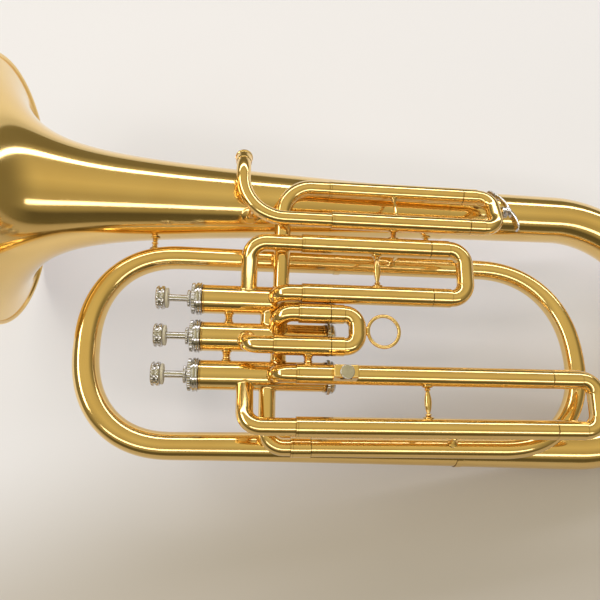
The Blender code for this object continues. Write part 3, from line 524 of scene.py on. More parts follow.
def socket(radius: float, sleeve: float, length: float) -> list[Triple]:
    """Marks of a slide's outer tube on its pipe: a soldered step, a turned line and an eased end.

    Args:
        radius: Radius of the pipe.
        sleeve: Radius of the outer tube.
        length: Length of the outer tube.

    Returns:
        Distance, radius and painted shade for seams and creases of each mark.
    """
    rise = sleeve - radius
    # The third value paints shade into the soldered step, the turned line's groove and the gap at the eased
    # end.
    return [
        (-1.1, radius, 0.0), (-0.15, radius, 0.2), (0.0, radius + 0.5 * rise, 1.0),
        (0.12, radius + 0.9 * rise, 0.2), (0.45, sleeve, 0.0), (1.5, sleeve, 0.0),
        (1.55, sleeve - 0.12, 1.0), (1.65, sleeve - 0.12, 1.0), (1.7, sleeve, 0.0),
        (length - 0.4, sleeve, 0.0), (length - 0.1, sleeve - 0.1, 0.3), (length, sleeve - 0.3, 0.9),
    ]


# Finishes


def linear(code: str) -> tuple[float, float, float, float]:
    """Linear colour of an sRGB hex code.

    Args:
        code: The colour as a hash sign and six digits.

    Returns:
        Red, green, blue and full cover.
    """
    parts = [int(code[k:k + 2], 16) / 255.0 for k in (1, 3, 5)]
    red, green, blue = (p / 12.92 if p <= 0.04045 else ((p + 0.055) / 1.055) ** 2.4 for p in parts)
    return red, green, blue, 1.0


def add_node(tree: bpy.types.NodeTree, kind: str, settings: Optional[dict[str, Any]] = None,
             **inputs: Any) -> bpy.types.Node:
    """Adds a node, sets its own settings, and fills or links its inputs.

    Args:
        tree: The node tree.
        kind: The node's type name.
        settings: Values of the node's own properties.
        inputs: A value or an output socket for each input, with spaces as underscores.

    Returns:
        The node.
    """
    node = tree.nodes.new(kind)
    for key, value in (settings or {}).items():
        setattr(node, key, value)
    for key, value in inputs.items():
        name = key.replace("_", " ")
        socket = node.inputs[int(key[1:])] if key[0] == "n" and key[1:].isdigit() else node.inputs[name]
        if isinstance(value, bpy.types.NodeSocket):
            tree.links.new(value, socket)
        else:
            socket.default_value = value
    return node


@dataclass(frozen=True)
class Finish(ABC):
    """A finish: a real material and how its surface was made."""

    name: str
    slot: Slot

    def material(self) -> bpy.types.Material:
        """The finish as a material, made once.

        Returns:
            The material.
        """
        made = bpy.data.materials.get(self.name)
        if made is None:
            made = bpy.data.materials.new(self.name)
            made.use_nodes = True
            tree = made.node_tree
            shader = tree.nodes["Principled BSDF"]
            place = add_node(tree, "ShaderNodeTexCoord").outputs["Object"]
            self.dress(tree, shader, place)
        return made

    @abstractmethod
    def dress(self, tree: bpy.types.NodeTree, shader: bpy.types.Node, place: bpy.types.NodeSocket) -> None:
        """Gives the shader its colour, roughness and relief.

        Args:
            tree: The material's node tree.
            shader: Its Principled shader.
            place: The piece's own coordinates, in metres.
        """


@dataclass(frozen=True)
class LacqueredBrass(Finish):
    """Yellow brass tube, bent, buffed and sprayed with clear lacquer.

    Buffing leaves long shallow waves some 25 mm apart, so reflections wander, and hairlines.
    The lacquer is a glossy coat with a faint orange peel. Grooves, creases and soldered joints are darkened
    with painted shade, which at the soldered joints also stands for the darker solder.
    `grain` stretches the hairlines along or round the horn.
    """

    light: str = "#FBDC95"
    deep: str = "#EFC87C"
    # Dark brown of the painted shade in grooves, creases and soldered joints.
    seam: str = "#5E3A12"
    grain: Triple = (0.12, 1.0, 1.0)
    wave_strength: float = 0.10
    rough: tuple[float, float] = (0.07, 0.15)

    def dress(self, tree: bpy.types.NodeTree, shader: bpy.types.Node, place: bpy.types.NodeSocket) -> None:
        """Gives drifting tone, painted shade at seams and creases, wandering reflections, hairlines and
        duller patches.

        Args:
            tree: The material's node tree.
            shader: Its Principled shader.
            place: The piece's own coordinates, in metres.
        """
        # The tone drifts over about 40 mm, as alloy and lacquer thickness do.
        drift = add_node(tree, "ShaderNodeTexNoise", Vector=place, Scale=25.0, Detail=2.0).outputs["Fac"]
        tone = add_node(tree, "ShaderNodeMix", {"data_type": "RGBA"}, n0=drift, n6=linear(self.light),
                        n7=linear(self.deep))
        # Painted shade: an attribute darkens grooves, creases between parts and soldered joints towards a
        # dark brown where shade falls, and at soldered joints it also stands for solder.
        shade = add_node(tree, "ShaderNodeAttribute", {"attribute_name": "seam"}).outputs["Fac"]
        joint = add_node(tree, "ShaderNodeMix", {"data_type": "RGBA"}, n0=shade, n6=tone.outputs[2],
                         n7=linear(self.seam))
        tree.links.new(joint.outputs[2], shader.inputs["Base Color"])

        # Waves 25 mm apart, hairlines 0.25 mm apart, drawn coarser than real ones so that they show.
        waves = add_node(tree, "ShaderNodeTexNoise", Vector=place, Scale=40.0, Detail=1.0).outputs["Fac"]
        level = (math.radians(Lie.roll), math.radians(Lie.pitch), 0.0)
        turn = add_node(tree, "ShaderNodeMapping", {"vector_type": "TEXTURE"}, Vector=place, Rotation=level)
        stretch = add_node(tree, "ShaderNodeMapping", Vector=turn.outputs[0], Scale=self.grain)
        lines = add_node(tree, "ShaderNodeTexNoise", Vector=stretch.outputs[0], Scale=4000.0, Detail=1.0)
        swell = add_node(tree, "ShaderNodeBump", Height=waves, Strength=self.wave_strength, Distance=0.0012)
        scratch = add_node(tree, "ShaderNodeBump", Height=lines.outputs["Fac"], Strength=0.035,
                           Distance=0.0001, Normal=swell.outputs[0])
        tree.links.new(scratch.outputs[0], shader.inputs["Normal"])

        # Handling leaves patches about 8 mm wide a little duller.
        haze = add_node(tree, "ShaderNodeTexNoise", Vector=place, Scale=120.0, Detail=3.0).outputs["Fac"]
        rough = add_node(tree, "ShaderNodeMapRange", n0=haze, n3=self.rough[0], n4=self.rough[1])
        tree.links.new(rough.outputs[0], shader.inputs["Roughness"])
        shader.inputs["Metallic"].default_value = 1.0
        shader.inputs["Coat Weight"].default_value = 0.35
        shader.inputs["Coat Roughness"].default_value = 0.03


@dataclass(frozen=True)
class NickelPlate(Finish):
    """Bright nickel on turned brass, buffed: a warm grey mirror with fine turning marks."""

    light: str = "#E0DEDC"
    deep: str = "#BFBCB8"
    rough: tuple[float, float] = (0.08, 0.20)

    def dress(self, tree: bpy.types.NodeTree, shader: bpy.types.Node, place: bpy.types.NodeSocket) -> None:
        """Gives a drifting grey, turning marks and a gloss that varies with the tone.

        Args:
            tree: The material's node tree.
            shader: Its Principled shader.
            place: The piece's own coordinates, in metres.
        """
        # The tone drifts over about 6 mm, with the plate's thickness.
        drift = add_node(tree, "ShaderNodeTexNoise", Vector=place, Scale=160.0, Detail=3.0).outputs["Fac"]
        tone = add_node(tree, "ShaderNodeMix", {"data_type": "RGBA"}, n0=drift, n6=linear(self.light),
                        n7=linear(self.deep))
        tree.links.new(tone.outputs[2], shader.inputs["Base Color"])
        # Turning marks 0.2 mm apart, drawn coarser than real ones so that they show.
        marks = add_node(tree, "ShaderNodeTexNoise", Vector=place, Scale=5000.0, Detail=1.0).outputs["Fac"]
        bump = add_node(tree, "ShaderNodeBump", Height=marks, Strength=0.03, Distance=0.0001)
        tree.links.new(bump.outputs[0], shader.inputs["Normal"])
        rough = add_node(tree, "ShaderNodeMapRange", n0=drift, n3=self.rough[0], n4=self.rough[1])
        tree.links.new(rough.outputs[0], shader.inputs["Roughness"])
        shader.inputs["Metallic"].default_value = 1.0


@dataclass(frozen=True)
class WoolFelt(Finish):
    """Pressed wool felt, punched into rings: matt, with a soft edge of loose fibres."""

    light: str = "#EFE9D8"
    deep: str = "#D5CBB2"

    def dress(self, tree: bpy.types.NodeTree, shader: bpy.types.Node, place: bpy.types.NodeSocket) -> None:
        """Gives two tones of fibre, their relief and a sheen.

        Args:
            tree: The material's node tree.
            shader: Its Principled shader.
            place: The piece's own coordinates, in metres.
        """
        # Fibres 0.15 mm apart.
        fibres = add_node(tree, "ShaderNodeTexNoise", Vector=place, Scale=6500.0, Detail=4.0).outputs["Fac"]
        tone = add_node(tree, "ShaderNodeMix", {"data_type": "RGBA"}, n0=fibres, n6=linear(self.light),
                        n7=linear(self.deep))
        tree.links.new(tone.outputs[2], shader.inputs["Base Color"])
        bump = add_node(tree, "ShaderNodeBump", Height=fibres, Strength=0.6, Distance=0.0003)
        tree.links.new(bump.outputs[0], shader.inputs["Normal"])
        shader.inputs["Roughness"].default_value = 0.95
        shader.inputs["Sheen Weight"].default_value = 0.4


@dataclass(frozen=True)
class NaturalCork(Finish):
    """Cork cut across its grain: a matt brown with darker pores."""

    light: str = "#C79D6B"
    deep: str = "#8A6238"

    def dress(self, tree: bpy.types.NodeTree, shader: bpy.types.Node, place: bpy.types.NodeSocket) -> None:
        """Gives dark pores in a paler brown, and their relief.

        Args:
            tree: The material's node tree.
            shader: Its Principled shader.
            place: The piece's own coordinates, in metres.
        """
        # Cells 0.5 mm apart.
        cells = add_node(tree, "ShaderNodeTexVoronoi", Vector=place, Scale=2000.0).outputs["Distance"]
        tone = add_node(tree, "ShaderNodeMix", {"data_type": "RGBA"}, n0=cells, n6=linear(self.deep),
                        n7=linear(self.light))
        tree.links.new(tone.outputs[2], shader.inputs["Base Color"])
        bump = add_node(tree, "ShaderNodeBump", Height=cells, Strength=0.5, Distance=0.0003)
        tree.links.new(bump.outputs[0], shader.inputs["Normal"])
        shader.inputs["Roughness"].default_value = 0.85


TUBE_BRASS = LacqueredBrass("lacquered_brass_drawn_tube", Slot.BRASS)
SPUN_BRASS = LacqueredBrass("lacquered_brass_spun_bell", Slot.BRASS, grain=(1.0, 0.06, 0.06),
                            wave_strength=0.06)
TURNED_BRASS = LacqueredBrass("lacquered_brass_turned", Slot.BRASS, grain=(1.0, 1.0, 1.0),
                              wave_strength=0.02)
NICKEL = NickelPlate("nickel_plate_buffed", Slot.NICKEL)
FELT = WoolFelt("wool_felt_pressed", Slot.FELT)
CORK = NaturalCork("natural_cork", Slot.CORK)


# Pieces of the horn


@dataclass
class Workshop:
    """Makes pieces out of shells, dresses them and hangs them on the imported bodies."""

    lie: Lie = field(default_factory=Lie)
    made: int = 0
    # Points closer than this in metres become one.
    merge: float = 2e-7

    def add(self, name: str, shells: Union[Shell, Sequence[Shell]], finish: Finish, body: str = "horn",
            nodes: Sequence[str] = (), sharp: float = 38.0) -> bpy.types.Object:
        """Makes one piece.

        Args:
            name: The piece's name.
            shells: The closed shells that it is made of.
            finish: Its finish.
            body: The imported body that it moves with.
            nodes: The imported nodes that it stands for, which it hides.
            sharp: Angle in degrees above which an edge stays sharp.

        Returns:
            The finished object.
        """
        parts = [shells] if isinstance(shells, Shell) else list(shells)
        starts = np.cumsum([0] + [len(part.points) for part in parts[:-1]])
        points = self.lie.place(np.vstack([part.points for part in parts]))
        faces = np.vstack([part.faces + start for part, start in zip(parts, starts)])
        seam = np.concatenate([part.seam for part in parts])
        mesh = bpy.data.meshes.new(name)
        mesh.from_pydata(points.tolist(), [], faces.tolist())
        mesh.attributes.new("seam", "FLOAT", "POINT").data.foreach_set("value", seam.astype(np.float32))
        shape = bmesh.new()
        shape.from_mesh(mesh)
        bmesh.ops.remove_doubles(shape, verts=shape.verts, dist=self.merge)
        shape.to_mesh(mesh)
        shape.free()
        mesh.shade_smooth()
        mesh.set_sharp_from_angle(angle=math.radians(sharp))
        piece = bpy.data.objects.new(name, mesh)
        bpy.context.scene.collection.objects.link(piece)
        mesh.materials.append(finish.material())
        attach(piece, body)
        if nodes:
            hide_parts(*nodes)
        self.made += 1
        LOG.info("piece %d: %s, %d faces, on %s", self.made, name, len(mesh.polygons), body)
        return piece


@dataclass(frozen=True)
class Bell:
    """The bell's sheet, spun over a mandrel, with its lip rolled over a wire."""

    mouth: Triple = (-153.3, 112.0, -20.0)
    joint_x: float = 190.8
    lip: float = 102.1
    bead: float = 1.5
    sheet: float = 0.7
    throat: float = 17.2
    cone: float = 0.0320
    cone_length: float = 416.0
    flare: float = 39.5
    rings: int = 110
    crowding: float = 1.7
    sides: int = 176
    lip_turn: tuple[float, float] = (-10.0, 250.0)
    lip_steps: int = 22
    step: float = 0.01

    def radius(self, distance: Union[float, Array]) -> Any:
        """Radius of the sheet behind the mouth: a slow cone and a flare that falls with the square.

        Args:
            distance: How far behind the mouth.

        Returns:
            The radius of the sheet's middle line there.
        """
        cone = self.throat + self.cone * (self.cone_length - distance)
        lip = self.lip - self.bead - self.throat - self.cone * self.cone_length
        return cone + lip * (self.flare / (distance + self.flare)) ** 2

    def sheet_side(self, distance: Array, shift: float) -> Array:
        """Profile of one side of the sheet: the middle line plus shift times its normal.

        Args:
            distance: Distances behind the mouth.
            shift: How far the side lies out from the middle line.

        Returns:
            Radius and distance of each row.
        """
        slope = (self.radius(distance + self.step) - self.radius(distance)) / self.step
        size = np.hypot(1.0, slope)
        return np.stack((self.radius(distance) + shift / size, distance - shift * slope / size), axis=-1)

    def seat(self, x: float) -> Seat:
        """The bell's outside at a place along the horn."""
        outside = float(self.radius(x - self.mouth[0])) + self.sheet / 2
        return Seat((x, self.mouth[1], self.mouth[2]), X_WAY, outside)

    def build(self, shop: Workshop) -> None:
        """Adds the bell: the outer side towards the mouth, the lip's wire, and the inner side back.

        Ring k lies at first + (length - first) (k / (rings - 1))^crowding behind the mouth,
        and the wire is an arc about a point half a millimetre outside the sheet's edge.

        Args:
            shop: Makes the pieces.
        """
        length, first = self.joint_x - CLEAR - self.mouth[0], 2.0
        places = first + (length - first) * np.linspace(0.0, 1.0, self.rings) ** self.crowding
        outer = self.sheet_side(places, self.sheet / 2)
        inner = self.sheet_side(places, -self.sheet / 2)
        slope = (self.radius(self.step) - self.radius(0.0)) / self.step
        back = np.array((slope, 1.0)) / math.hypot(1.0, slope)
        normal = np.array((1.0, -slope)) / math.hypot(1.0, slope)
        centre = np.array((self.radius(0.0), 0.0)) + normal * 0.5
        turn = np.radians(np.linspace(*self.lip_turn, self.lip_steps))[:, None]
        lip = centre + self.bead * (np.cos(turn) * back + np.sin(turn) * normal)
        profile = np.vstack((outer[::-1], lip, inner))
        shop.add("bell_sheet", turned(profile, self.mouth, X_WAY, self.sides, loop=True), SPUN_BRASS,
                 nodes=["bell"], sharp=50.0)


@dataclass(frozen=True)
class Loops:
    """The conical tubing: the small branch, the large branch with the left bow, and the bottom bow.

    A turn gives where a bow starts along the horn, how far it reaches and its power. Radii
    are knots of the share of a tube's path and the radius there.
    """

    top_y: float = 65.0
    bottom_y: float = -77.0
    depth: float = Bell.mouth[2]
    branch_height: float = 2.0
    branch_start: float = 83.5
    branch_turn: Triple = (221.3, 70.2, 2.26)
    branch_end: float = 106.2
    branch_radii: Sequence[tuple[float, float]] = ((0.0, 6.5), (0.5, 7.5), (1.0, 8.0))
    bow_turn: Triple = (-13.5, -67.0, 2.32)
    bow_joint: float = 194.8
    large_radii: Sequence[tuple[float, float]] = ((0.0, 8.1), (0.42, 9.6), (0.70, 10.3), (1.0, 13.0))
    bell_y: float = Bell.mouth[1]
    bell_joint: float = Bell.joint_x
    bottom_x: float = 290.0
    bottom_radii: Sequence[tuple[float, float]] = ((0.0, 13.2), (0.5, 17.7), (1.0, 20.2))
    wall: float = 0.5
    ferrule: float = 5.0
    rise: float = 0.5
    ferrule_radii: Triple = (8.1, 13.15, 20.25)
    steps: int = 96

    def bow(self, turn: Triple) -> Array:
        """Outline of a bow from its top to its bottom.

        It is half a superellipse: x moves by reach |cos a|^(2/p) and y by half |sin a|^(2/p).

        Args:
            turn: Where the bow starts, how far it reaches and its power p.

        Returns:
            Pairs of x and y.
        """
        x, reach, power = turn
        angle = np.linspace(math.pi / 2, -math.pi / 2, self.steps + 1)
        across = np.maximum(np.cos(angle), 0.0) ** (2 / power)
        along = np.sign(np.sin(angle)) * np.abs(np.sin(angle)) ** (2 / power)
        half = (self.top_y - self.bottom_y) / 2
        return np.stack((x + reach * across, (self.top_y + self.bottom_y) / 2 + half * along), axis=-1)

    def swell(self, path: Array, radii: Sequence[tuple[float, float]]) -> Stations:
        """Stations of a swelling tube, whose radius runs smoothly through its knots.

        Args:
            path: Points of the centre line.
            radii: Share of the path and radius at each knot.

        Returns:
            The stations.
        """
        run = np.concatenate(([0.0], np.cumsum(np.linalg.norm(np.diff(path, axis=0), axis=1))))
        shares, sizes = zip(*radii)
        curve = smoothed(np.stack((shares, sizes), axis=-1), 12)
        return Stations.along(path, np.interp(run / run[-1], curve[:, 0], curve[:, 1]))

    def small_stations(self) -> Stations:
        """The small branch, which sinks in step with y on its way from the bottom to the top.

        Returns:
            Its stations.
        """
        flat = self.bow(self.branch_turn)[::-1]
        fall = (self.depth - self.branch_height) / (self.top_y - self.bottom_y)
        height = self.branch_height + fall * (flat[:, 1] - self.bottom_y)
        bend = np.column_stack((flat, height))
        start = np.linspace((self.branch_start, self.bottom_y, self.branch_height), bend[0], 12)[:-1]
        end = np.linspace(bend[-1], (self.branch_end, self.top_y, self.depth), 12)[1:]
        return self.swell(np.vstack((start, bend, end)), self.branch_radii)

    def large_stations(self) -> Stations:
        """The large branch from the small one round the left bow to the bottom bow.

        Returns:
            Its stations.
        """
        flat = self.bow(self.bow_turn)
        bend = np.column_stack((flat, np.full(len(flat), self.depth)))
        start = np.linspace((self.branch_end, self.top_y, self.depth), bend[0], 16)[:-1]
        end = np.linspace(bend[-1], (self.bow_joint, self.bottom_y, self.depth), 24)[1:]
        return self.swell(np.vstack((start, bend, end)), self.large_radii)

    def bottom_stations(self) -> Stations:
        """The bottom bow, half a circle between two short runs.

        Returns:
            Its stations.
        """
        angle = np.linspace(-math.pi / 2, math.pi / 2, self.steps + 1)
        radius = (self.bell_y - self.bottom_y) / 2
        middle = (self.bell_y + self.bottom_y) / 2
        bend = np.stack((self.bottom_x + radius * np.cos(angle), middle + radius * np.sin(angle),
                         np.full(len(angle), self.depth)), axis=-1)
        start = np.linspace((self.bow_joint + CLEAR, self.bottom_y, self.depth), bend[0], 16)[:-1]
        end = np.linspace(bend[-1], (self.bell_joint, self.bell_y, self.depth), 16)[1:]
        return self.swell(np.vstack((start, bend, end)), self.bottom_radii)

    def seat(self, stations: Stations, x: float, y: float, z: float) -> Seat:
        """The outside of a swelling tube at the point of its path that is nearest to a place.

        Args:
            stations: The tube's stations.
            x: The place along the horn.
            y: The place across it.
            z: Its height.

        Returns:
            The seat.
        """
        near = int(np.argmin(np.linalg.norm(stations.path - np.array((x, y, z)), axis=1)))
        way = unit(np.gradient(stations.path, axis=0))[near]
        return Seat(tuple(stations.path[near]), tuple(way), float(stations.radii[near]))

    def ring(self, x: float, y: float, radius: float) -> Shell:
        """A ferrule round a joint: a thin sleeve with eased edges and painted shade in the creases at its
        ends.

        Args:
            x: Where it starts along the horn.
            y: Where the tube lies across it.
            radius: The tube's radius.

        Returns:
            The closed shell.
        """
        marks = band(0.0, self.ferrule, radius + 0.02, self.rise)
        outer = Stations.straight((x, y, self.depth), X_WAY, marks)
        return tube(outer, self.rise + 0.1, 64)

    def build(self, shop: Workshop) -> None:
        """Adds the three tubes and the ferrules at their joints.

        Args:
            shop: Makes the pieces.
        """
        small, large, bottom = self.small_stations(), self.large_stations(), self.bottom_stations()
        first = self.ring(self.branch_end - self.ferrule / 2, self.top_y, self.ferrule_radii[0])
        low = self.ring(self.bow_joint - 1.0, self.bottom_y, self.ferrule_radii[1])
        high = self.ring(self.bell_joint - 1.0, self.bell_y, self.ferrule_radii[2])
        shop.add("small_branch_tube", tube(small, self.wall, 56), TUBE_BRASS, nodes=["small_branch"])
        shop.add("large_branch_tube", [tube(large, self.wall, 64), first], TUBE_BRASS, nodes=["large_branch"])
        shells = [tube(bottom, self.wall, 72), low, high]
        shop.add("bottom_bow_tube", shells, TUBE_BRASS, nodes=["bottom_bow"])


@dataclass(frozen=True)
class Valves:
    """Three valves side by side: casings, caps, pistons, finger buttons, felts and links.

    Valve 1 has the largest y. Each link gives the lower number of its two valves and its x.
    """

    pitch: float = 27.7
    radius: float = 10.6
    wall: float = 0.7
    top: float = 3.3
    end: float = 94.5
    piston_length: float = 62.0
    stem: float = 2.6
    cap_radius: float = 12.0
    collar: float = 6.2
    foot_radius: float = 12.6
    foot_length: float = 6.2
    button_radius: float = 8.6
    button_top: float = -29.8
    button_end: float = -23.1
    felt_radius: float = 7.4
    felt_end: float = -21.0
    links: Sequence[tuple[int, float]] = ((1, 51.8), (2, 59.6))
    link_radius: float = 5.8

    def y(self, number: int) -> float:
        """Side place of a valve, counted from 1."""
        return self.pitch * (2 - number)

    def seat(self, number: int, x: float) -> Seat:
        """A casing's outside at a height."""
        return Seat((x, self.y(number), 0.0), X_WAY, self.radius)

    def add_casing(self, shop: Workshop, number: int) -> None:
        """Adds a casing, a tube with a turned ring at each end.

        Args:
            shop: Makes the pieces.
            number: The valve, counted from 1.
        """
        out, inside = self.radius, self.radius - self.wall
        low, high = self.top, self.end
        # The third value paints shade into the steps and grooves of the end rings.
        profile = [
            (out + 0.3, low, 1.0), (out + 0.3, low + 1.2, 0.0), (out, low + 1.4, 0.6), (out, low + 2.0, 0.0),
            (out, high - 3.0, 0.0), (out, high - 2.4, 0.7), (out + 0.4, high - 2.1, 0.0),
            (out + 0.4, high, 1.0), (inside, high, 0.0), (inside, low, 0.0),
        ]
        shell = turned(eased(profile, 0.2, 3, loop=True), (0.0, self.y(number), 0.0), X_WAY, 72, loop=True)
        shop.add(f"valve_casing_{number}_tube", shell, TUBE_BRASS, nodes=[f"valve_casing_{number}"])

    def add_caps(self, shop: Workshop, number: int) -> None:
        """Adds the top cap with its knurled collar and the bottom cap with its vent.

        Args:
            shop: Makes the pieces.
            number: The valve, counted from 1.
        """
        origin = (0.0, self.y(number), 0.0)
        bore, cap, collar = self.stem + 0.3, self.cap_radius, self.collar
        profile = [
            (bore, -7.4), (collar - 0.4, -7.4), (collar, -7.0), (collar, -5.6), (collar - 0.9, -5.3),
            (collar + 0.6, -4.9), (cap * 0.86, -4.5), (cap * 0.955, -3.9), (cap * 0.955, -2.0),
            (cap * 0.90, -1.6), (cap * 0.90, -1.0), (cap * 0.985, -0.7), (cap, -0.3), (cap, 1.0),
            (cap * 0.965, 1.35), (cap * 0.965, 1.7), (cap, 2.05), (cap, 2.8), (cap * 0.98, 3.1), (bore, 3.1),
        ]
        knurls = (Knurl(30, 0.5, -3.9, -2.0), Knurl(18, 0.4, -7.1, -5.5))
        shell = turned(eased(profile, 0.16, 3, loop=True), origin, X_WAY, 240, loop=True, knurls=knurls)
        shop.add(f"top_cap_{number}_plated", shell, NICKEL, nodes=[f"top_cap_{number}"])
        foot, length, rim = self.foot_radius, self.foot_length, self.radius - self.wall
        profile = [
            (rim, 0.0), (foot - 0.2, 0.0), (foot, 0.3), (foot, 2.2), (foot * 0.92, 2.7), (foot * 0.90, 3.1),
            (foot * 0.93, 3.5), (foot * 0.93, 4.6), (foot * 0.80, length), (4.4, length), (4.0, length - 0.7),
            (1.6, length - 0.7), (1.6, 4.3), (rim, 4.3),
        ]
        knurls = (Knurl(36, 0.35, 0.2, 2.3),)
        base = (self.end + CLEAR, self.y(number), 0.0)
        shell = turned(eased(profile, 0.2, 3, loop=True), base, X_WAY, 240, loop=True, knurls=knurls)
        shop.add(f"bottom_cap_{number}_plated", shell, NICKEL, nodes=[f"bottom_cap_{number}"])

    def add_piston(self, shop: Workshop, number: int) -> None:
        """Adds a piston with its stem, its finger button and the felt ring under it.

        Args:
            shop: Makes the pieces.
            number: The valve, counted from 1.
        """
        origin, body = (0.0, self.y(number), 0.0), f"piston_{number}"
        inside, end = self.radius - self.wall - 0.2, self.top + self.piston_length
        stem = [(0.0, self.button_end - 3.0), (self.stem, self.button_end - 3.0), (self.stem, self.top),
                (inside, self.top), (inside, end), (inside - 0.9, end), (inside - 0.9, self.top + 1.8),
                (0.0, self.top + 1.8)]
        shop.add(f"piston_{number}_plated", turned(eased(stem), origin, X_WAY, 64), NICKEL, body, [body])
        wide, top, low = self.button_radius, self.button_top, self.button_end
        button = [
            (0.0, top + 0.75), (wide * 0.45, top + 0.6), (wide * 0.70, top + 0.12), (wide * 0.80, top),
            (wide * 0.93, top + 0.45), (wide, top + 1.2), (wide, top + 2.2), (wide * 0.93, top + 2.7),
            (wide * 0.88, top + 2.9), (wide * 0.88, top + 3.5), (wide * 0.93, top + 3.7), (wide, top + 4.2),
            (wide, top + 5.3), (wide * 0.97, top + 6.2), (wide * 0.90, low), (self.stem + 0.3, low),
            (self.stem + 0.3, low - 3.4), (0.0, low - 3.4),
        ]
        knurls = (Knurl(16, 0.4, top + 1.1, top + 2.3), Knurl(16, 0.4, top + 4.1, top + 5.4))
        shell = turned(eased(button, 0.35, 4), origin, X_WAY, 200, knurls=knurls)
        shop.add(f"finger_button_{number}_plated", shell, NICKEL, body, [f"finger_button_{number}"])
        bore, rim, felt_end = self.stem + 0.3, self.felt_radius, self.felt_end
        felt = [(bore, low + CLEAR), (rim, low + CLEAR), (rim, felt_end), (bore, felt_end)]
        shell = turned(eased(felt, 0.8, 6, loop=True), origin, X_WAY, 64, loop=True)
        shop.add(f"button_felt_{number}_ring", shell, FELT, body, [f"button_felt_{number}"], sharp=80.0)

    def add_links(self, shop: Workshop) -> None:
        """Adds the short pipes between neighbouring casings, each with a fillet of solder.

        Args:
            shop: Makes the pieces.
        """
        way = np.array((0.0, -1.0, 0.0))
        for upper, x in self.links:
            length, r = self.pitch - 2 * self.radius, self.link_radius
            # The third value paints shade into the solder fillet's crease on each casing.
            marks = [(0.0, r + 0.7, 0.6), (0.4, r + 0.25, 0.2), (1.0, r, 0.0)]
            marks += [(length - far, size, shade) for far, size, shade in reversed(marks)]
            start = (x, self.y(upper) - self.radius, 0.0)
            seats = [(self.seat(upper, x), way, length / 2), (self.seat(upper + 1, x), -way, length / 2)]
            shell = tube(Stations.straight(start, way, marks), 0.5, 48, X_WAY, seats=seats)
            name = f"valve_link_{upper}_{upper + 1}"
            shop.add(f"{name}_pipe", shell, TUBE_BRASS, nodes=[name])

    def build(self, shop: Workshop) -> None:
        """Adds all three valves.

        Args:
            shop: Makes the pieces.
        """
        for number in (1, 2, 3):
            self.add_casing(shop, number)
            self.add_caps(shop, number)
            self.add_piston(shop, number)
        self.add_links(shop)


@dataclass(frozen=True)
class SlidePipe:
    """A pipe from a casing's port round to a run along the horn, with the slide's outer tube.

    The port is its x on the casing, y and z are those of the run, and start and end are the
    outer tube's ends along the horn.
    """

    name: str
    valve: int
    port: float
    y: float
    z: float
    bend: float
    start: float
    end: float
    radius: float = 6.1
    sleeve: float = 7.0
    wall: float = 0.5

    def stations(self, valves: Valves) -> tuple[Stations, Array]:
        """Stations of the pipe, and its direction where it leaves the casing.

        Args:
            valves: The valves that the pipe stands on.

        Returns:
            The stations and the direction.
        """
        side = valves.y(self.valve)
        way = unit((0.0, self.y - side, self.z))
        base = np.array((self.port, side, 0.0))
        knee, run_start = (self.port, self.y, self.z), (self.start - 1.2, self.y, self.z)
        corners = (base + way * valves.radius, knee, run_start)
        bent = filleted(corners, [self.bend])
        # The third value paints shade into the collar's crease on the casing.
        collar = [(0.0, self.radius + 0.7, 0.6), (0.25, self.radius + 0.3, 0.3), (0.7, self.radius, 0.0)]
        root = Stations.straight(corners[0], way, collar)
        marks = socket(self.radius, self.sleeve, self.end - self.start)
        run = Stations.straight((self.start, self.y, self.z), X_WAY, marks)
        return root.then(Stations.along(bent[1:-1], self.radius), run), way

    def build(self, shop: Workshop, valves: Valves) -> None:
        """Adds the pipe, saddled on its casing.

        Args:
            shop: Makes the pieces.
            valves: The valves that the pipe stands on.
        """
        stations, way = self.stations(valves)
        seats = [(valves.seat(self.valve, self.port), way, 6.0)]
        shell = tube(stations, self.wall, 56, (0.3, 0.0, 1.0), seats=seats)
        shop.add(f"{self.name}_tube", shell, TUBE_BRASS, nodes=[self.name])


@dataclass(frozen=True)
class SlideCrook:
    """A slide's two inner legs and the crook that joins them, with a ferrule round each leg.

    First and second are the legs' y and z. X gives where the outer tubes end and where the
    last `band_length` of the ferrules starts.
    """

    name: str
    body: str
    first: tuple[float, float]
    second: tuple[float, float]
    leg_start: float
    x: tuple[float, float]
    bend: float
    leg: float = 6.1
    radius: float = 6.3
    wall: float = 0.5
    band_length: float = 2.2
    rise: float = 0.6

    def leg_run(self, place: tuple[float, float]) -> Stations:
        """One leg with its ferrule, from inside the outer tube to the crook.

        Args:
            place: The leg's y and z.

        Returns:
            Its stations.
        """
        start, end = self.x[0] + 0.2, self.x[1] + self.band_length
        # The third value paints shade on the leg where it goes into the outer tube.
        marks = [(self.leg_start, self.leg, 0.0), (start - 0.6, self.leg, 0.0), (start - 0.05, self.leg, 1.0)]
        marks += band(start, end, self.radius, self.rise)
        marks += [(end + 0.4, self.radius, 0.0)]
        return Stations.straight((0.0, *place), X_WAY, marks)

    def shell(self) -> Shell:
        """The crook: leg, ferrule, two quarter bends, ferrule and leg.

        Returns:
            The closed shell.
        """
        start = self.x[1] + self.band_length
        far = start + self.bend
        corners = ((start, *self.first), (far, *self.first), (far, *self.second), (start, *self.second))
        bent = Stations.along(filleted(corners, [self.bend - 0.6] * 2)[1:-1], self.radius)
        stations = self.leg_run(self.first).then(bent, self.leg_run(self.second).backwards())
        side = unit((0.0, self.second[0] - self.first[0], self.second[1] - self.first[1]))
        return tube(stations, self.wall, 56, np.cross(X_WAY, side))

    def build(self, shop: Workshop) -> None:
        """Adds the crook."""
        shop.add(f"{self.name}_tube", self.shell(), TUBE_BRASS, self.body, [self.name])


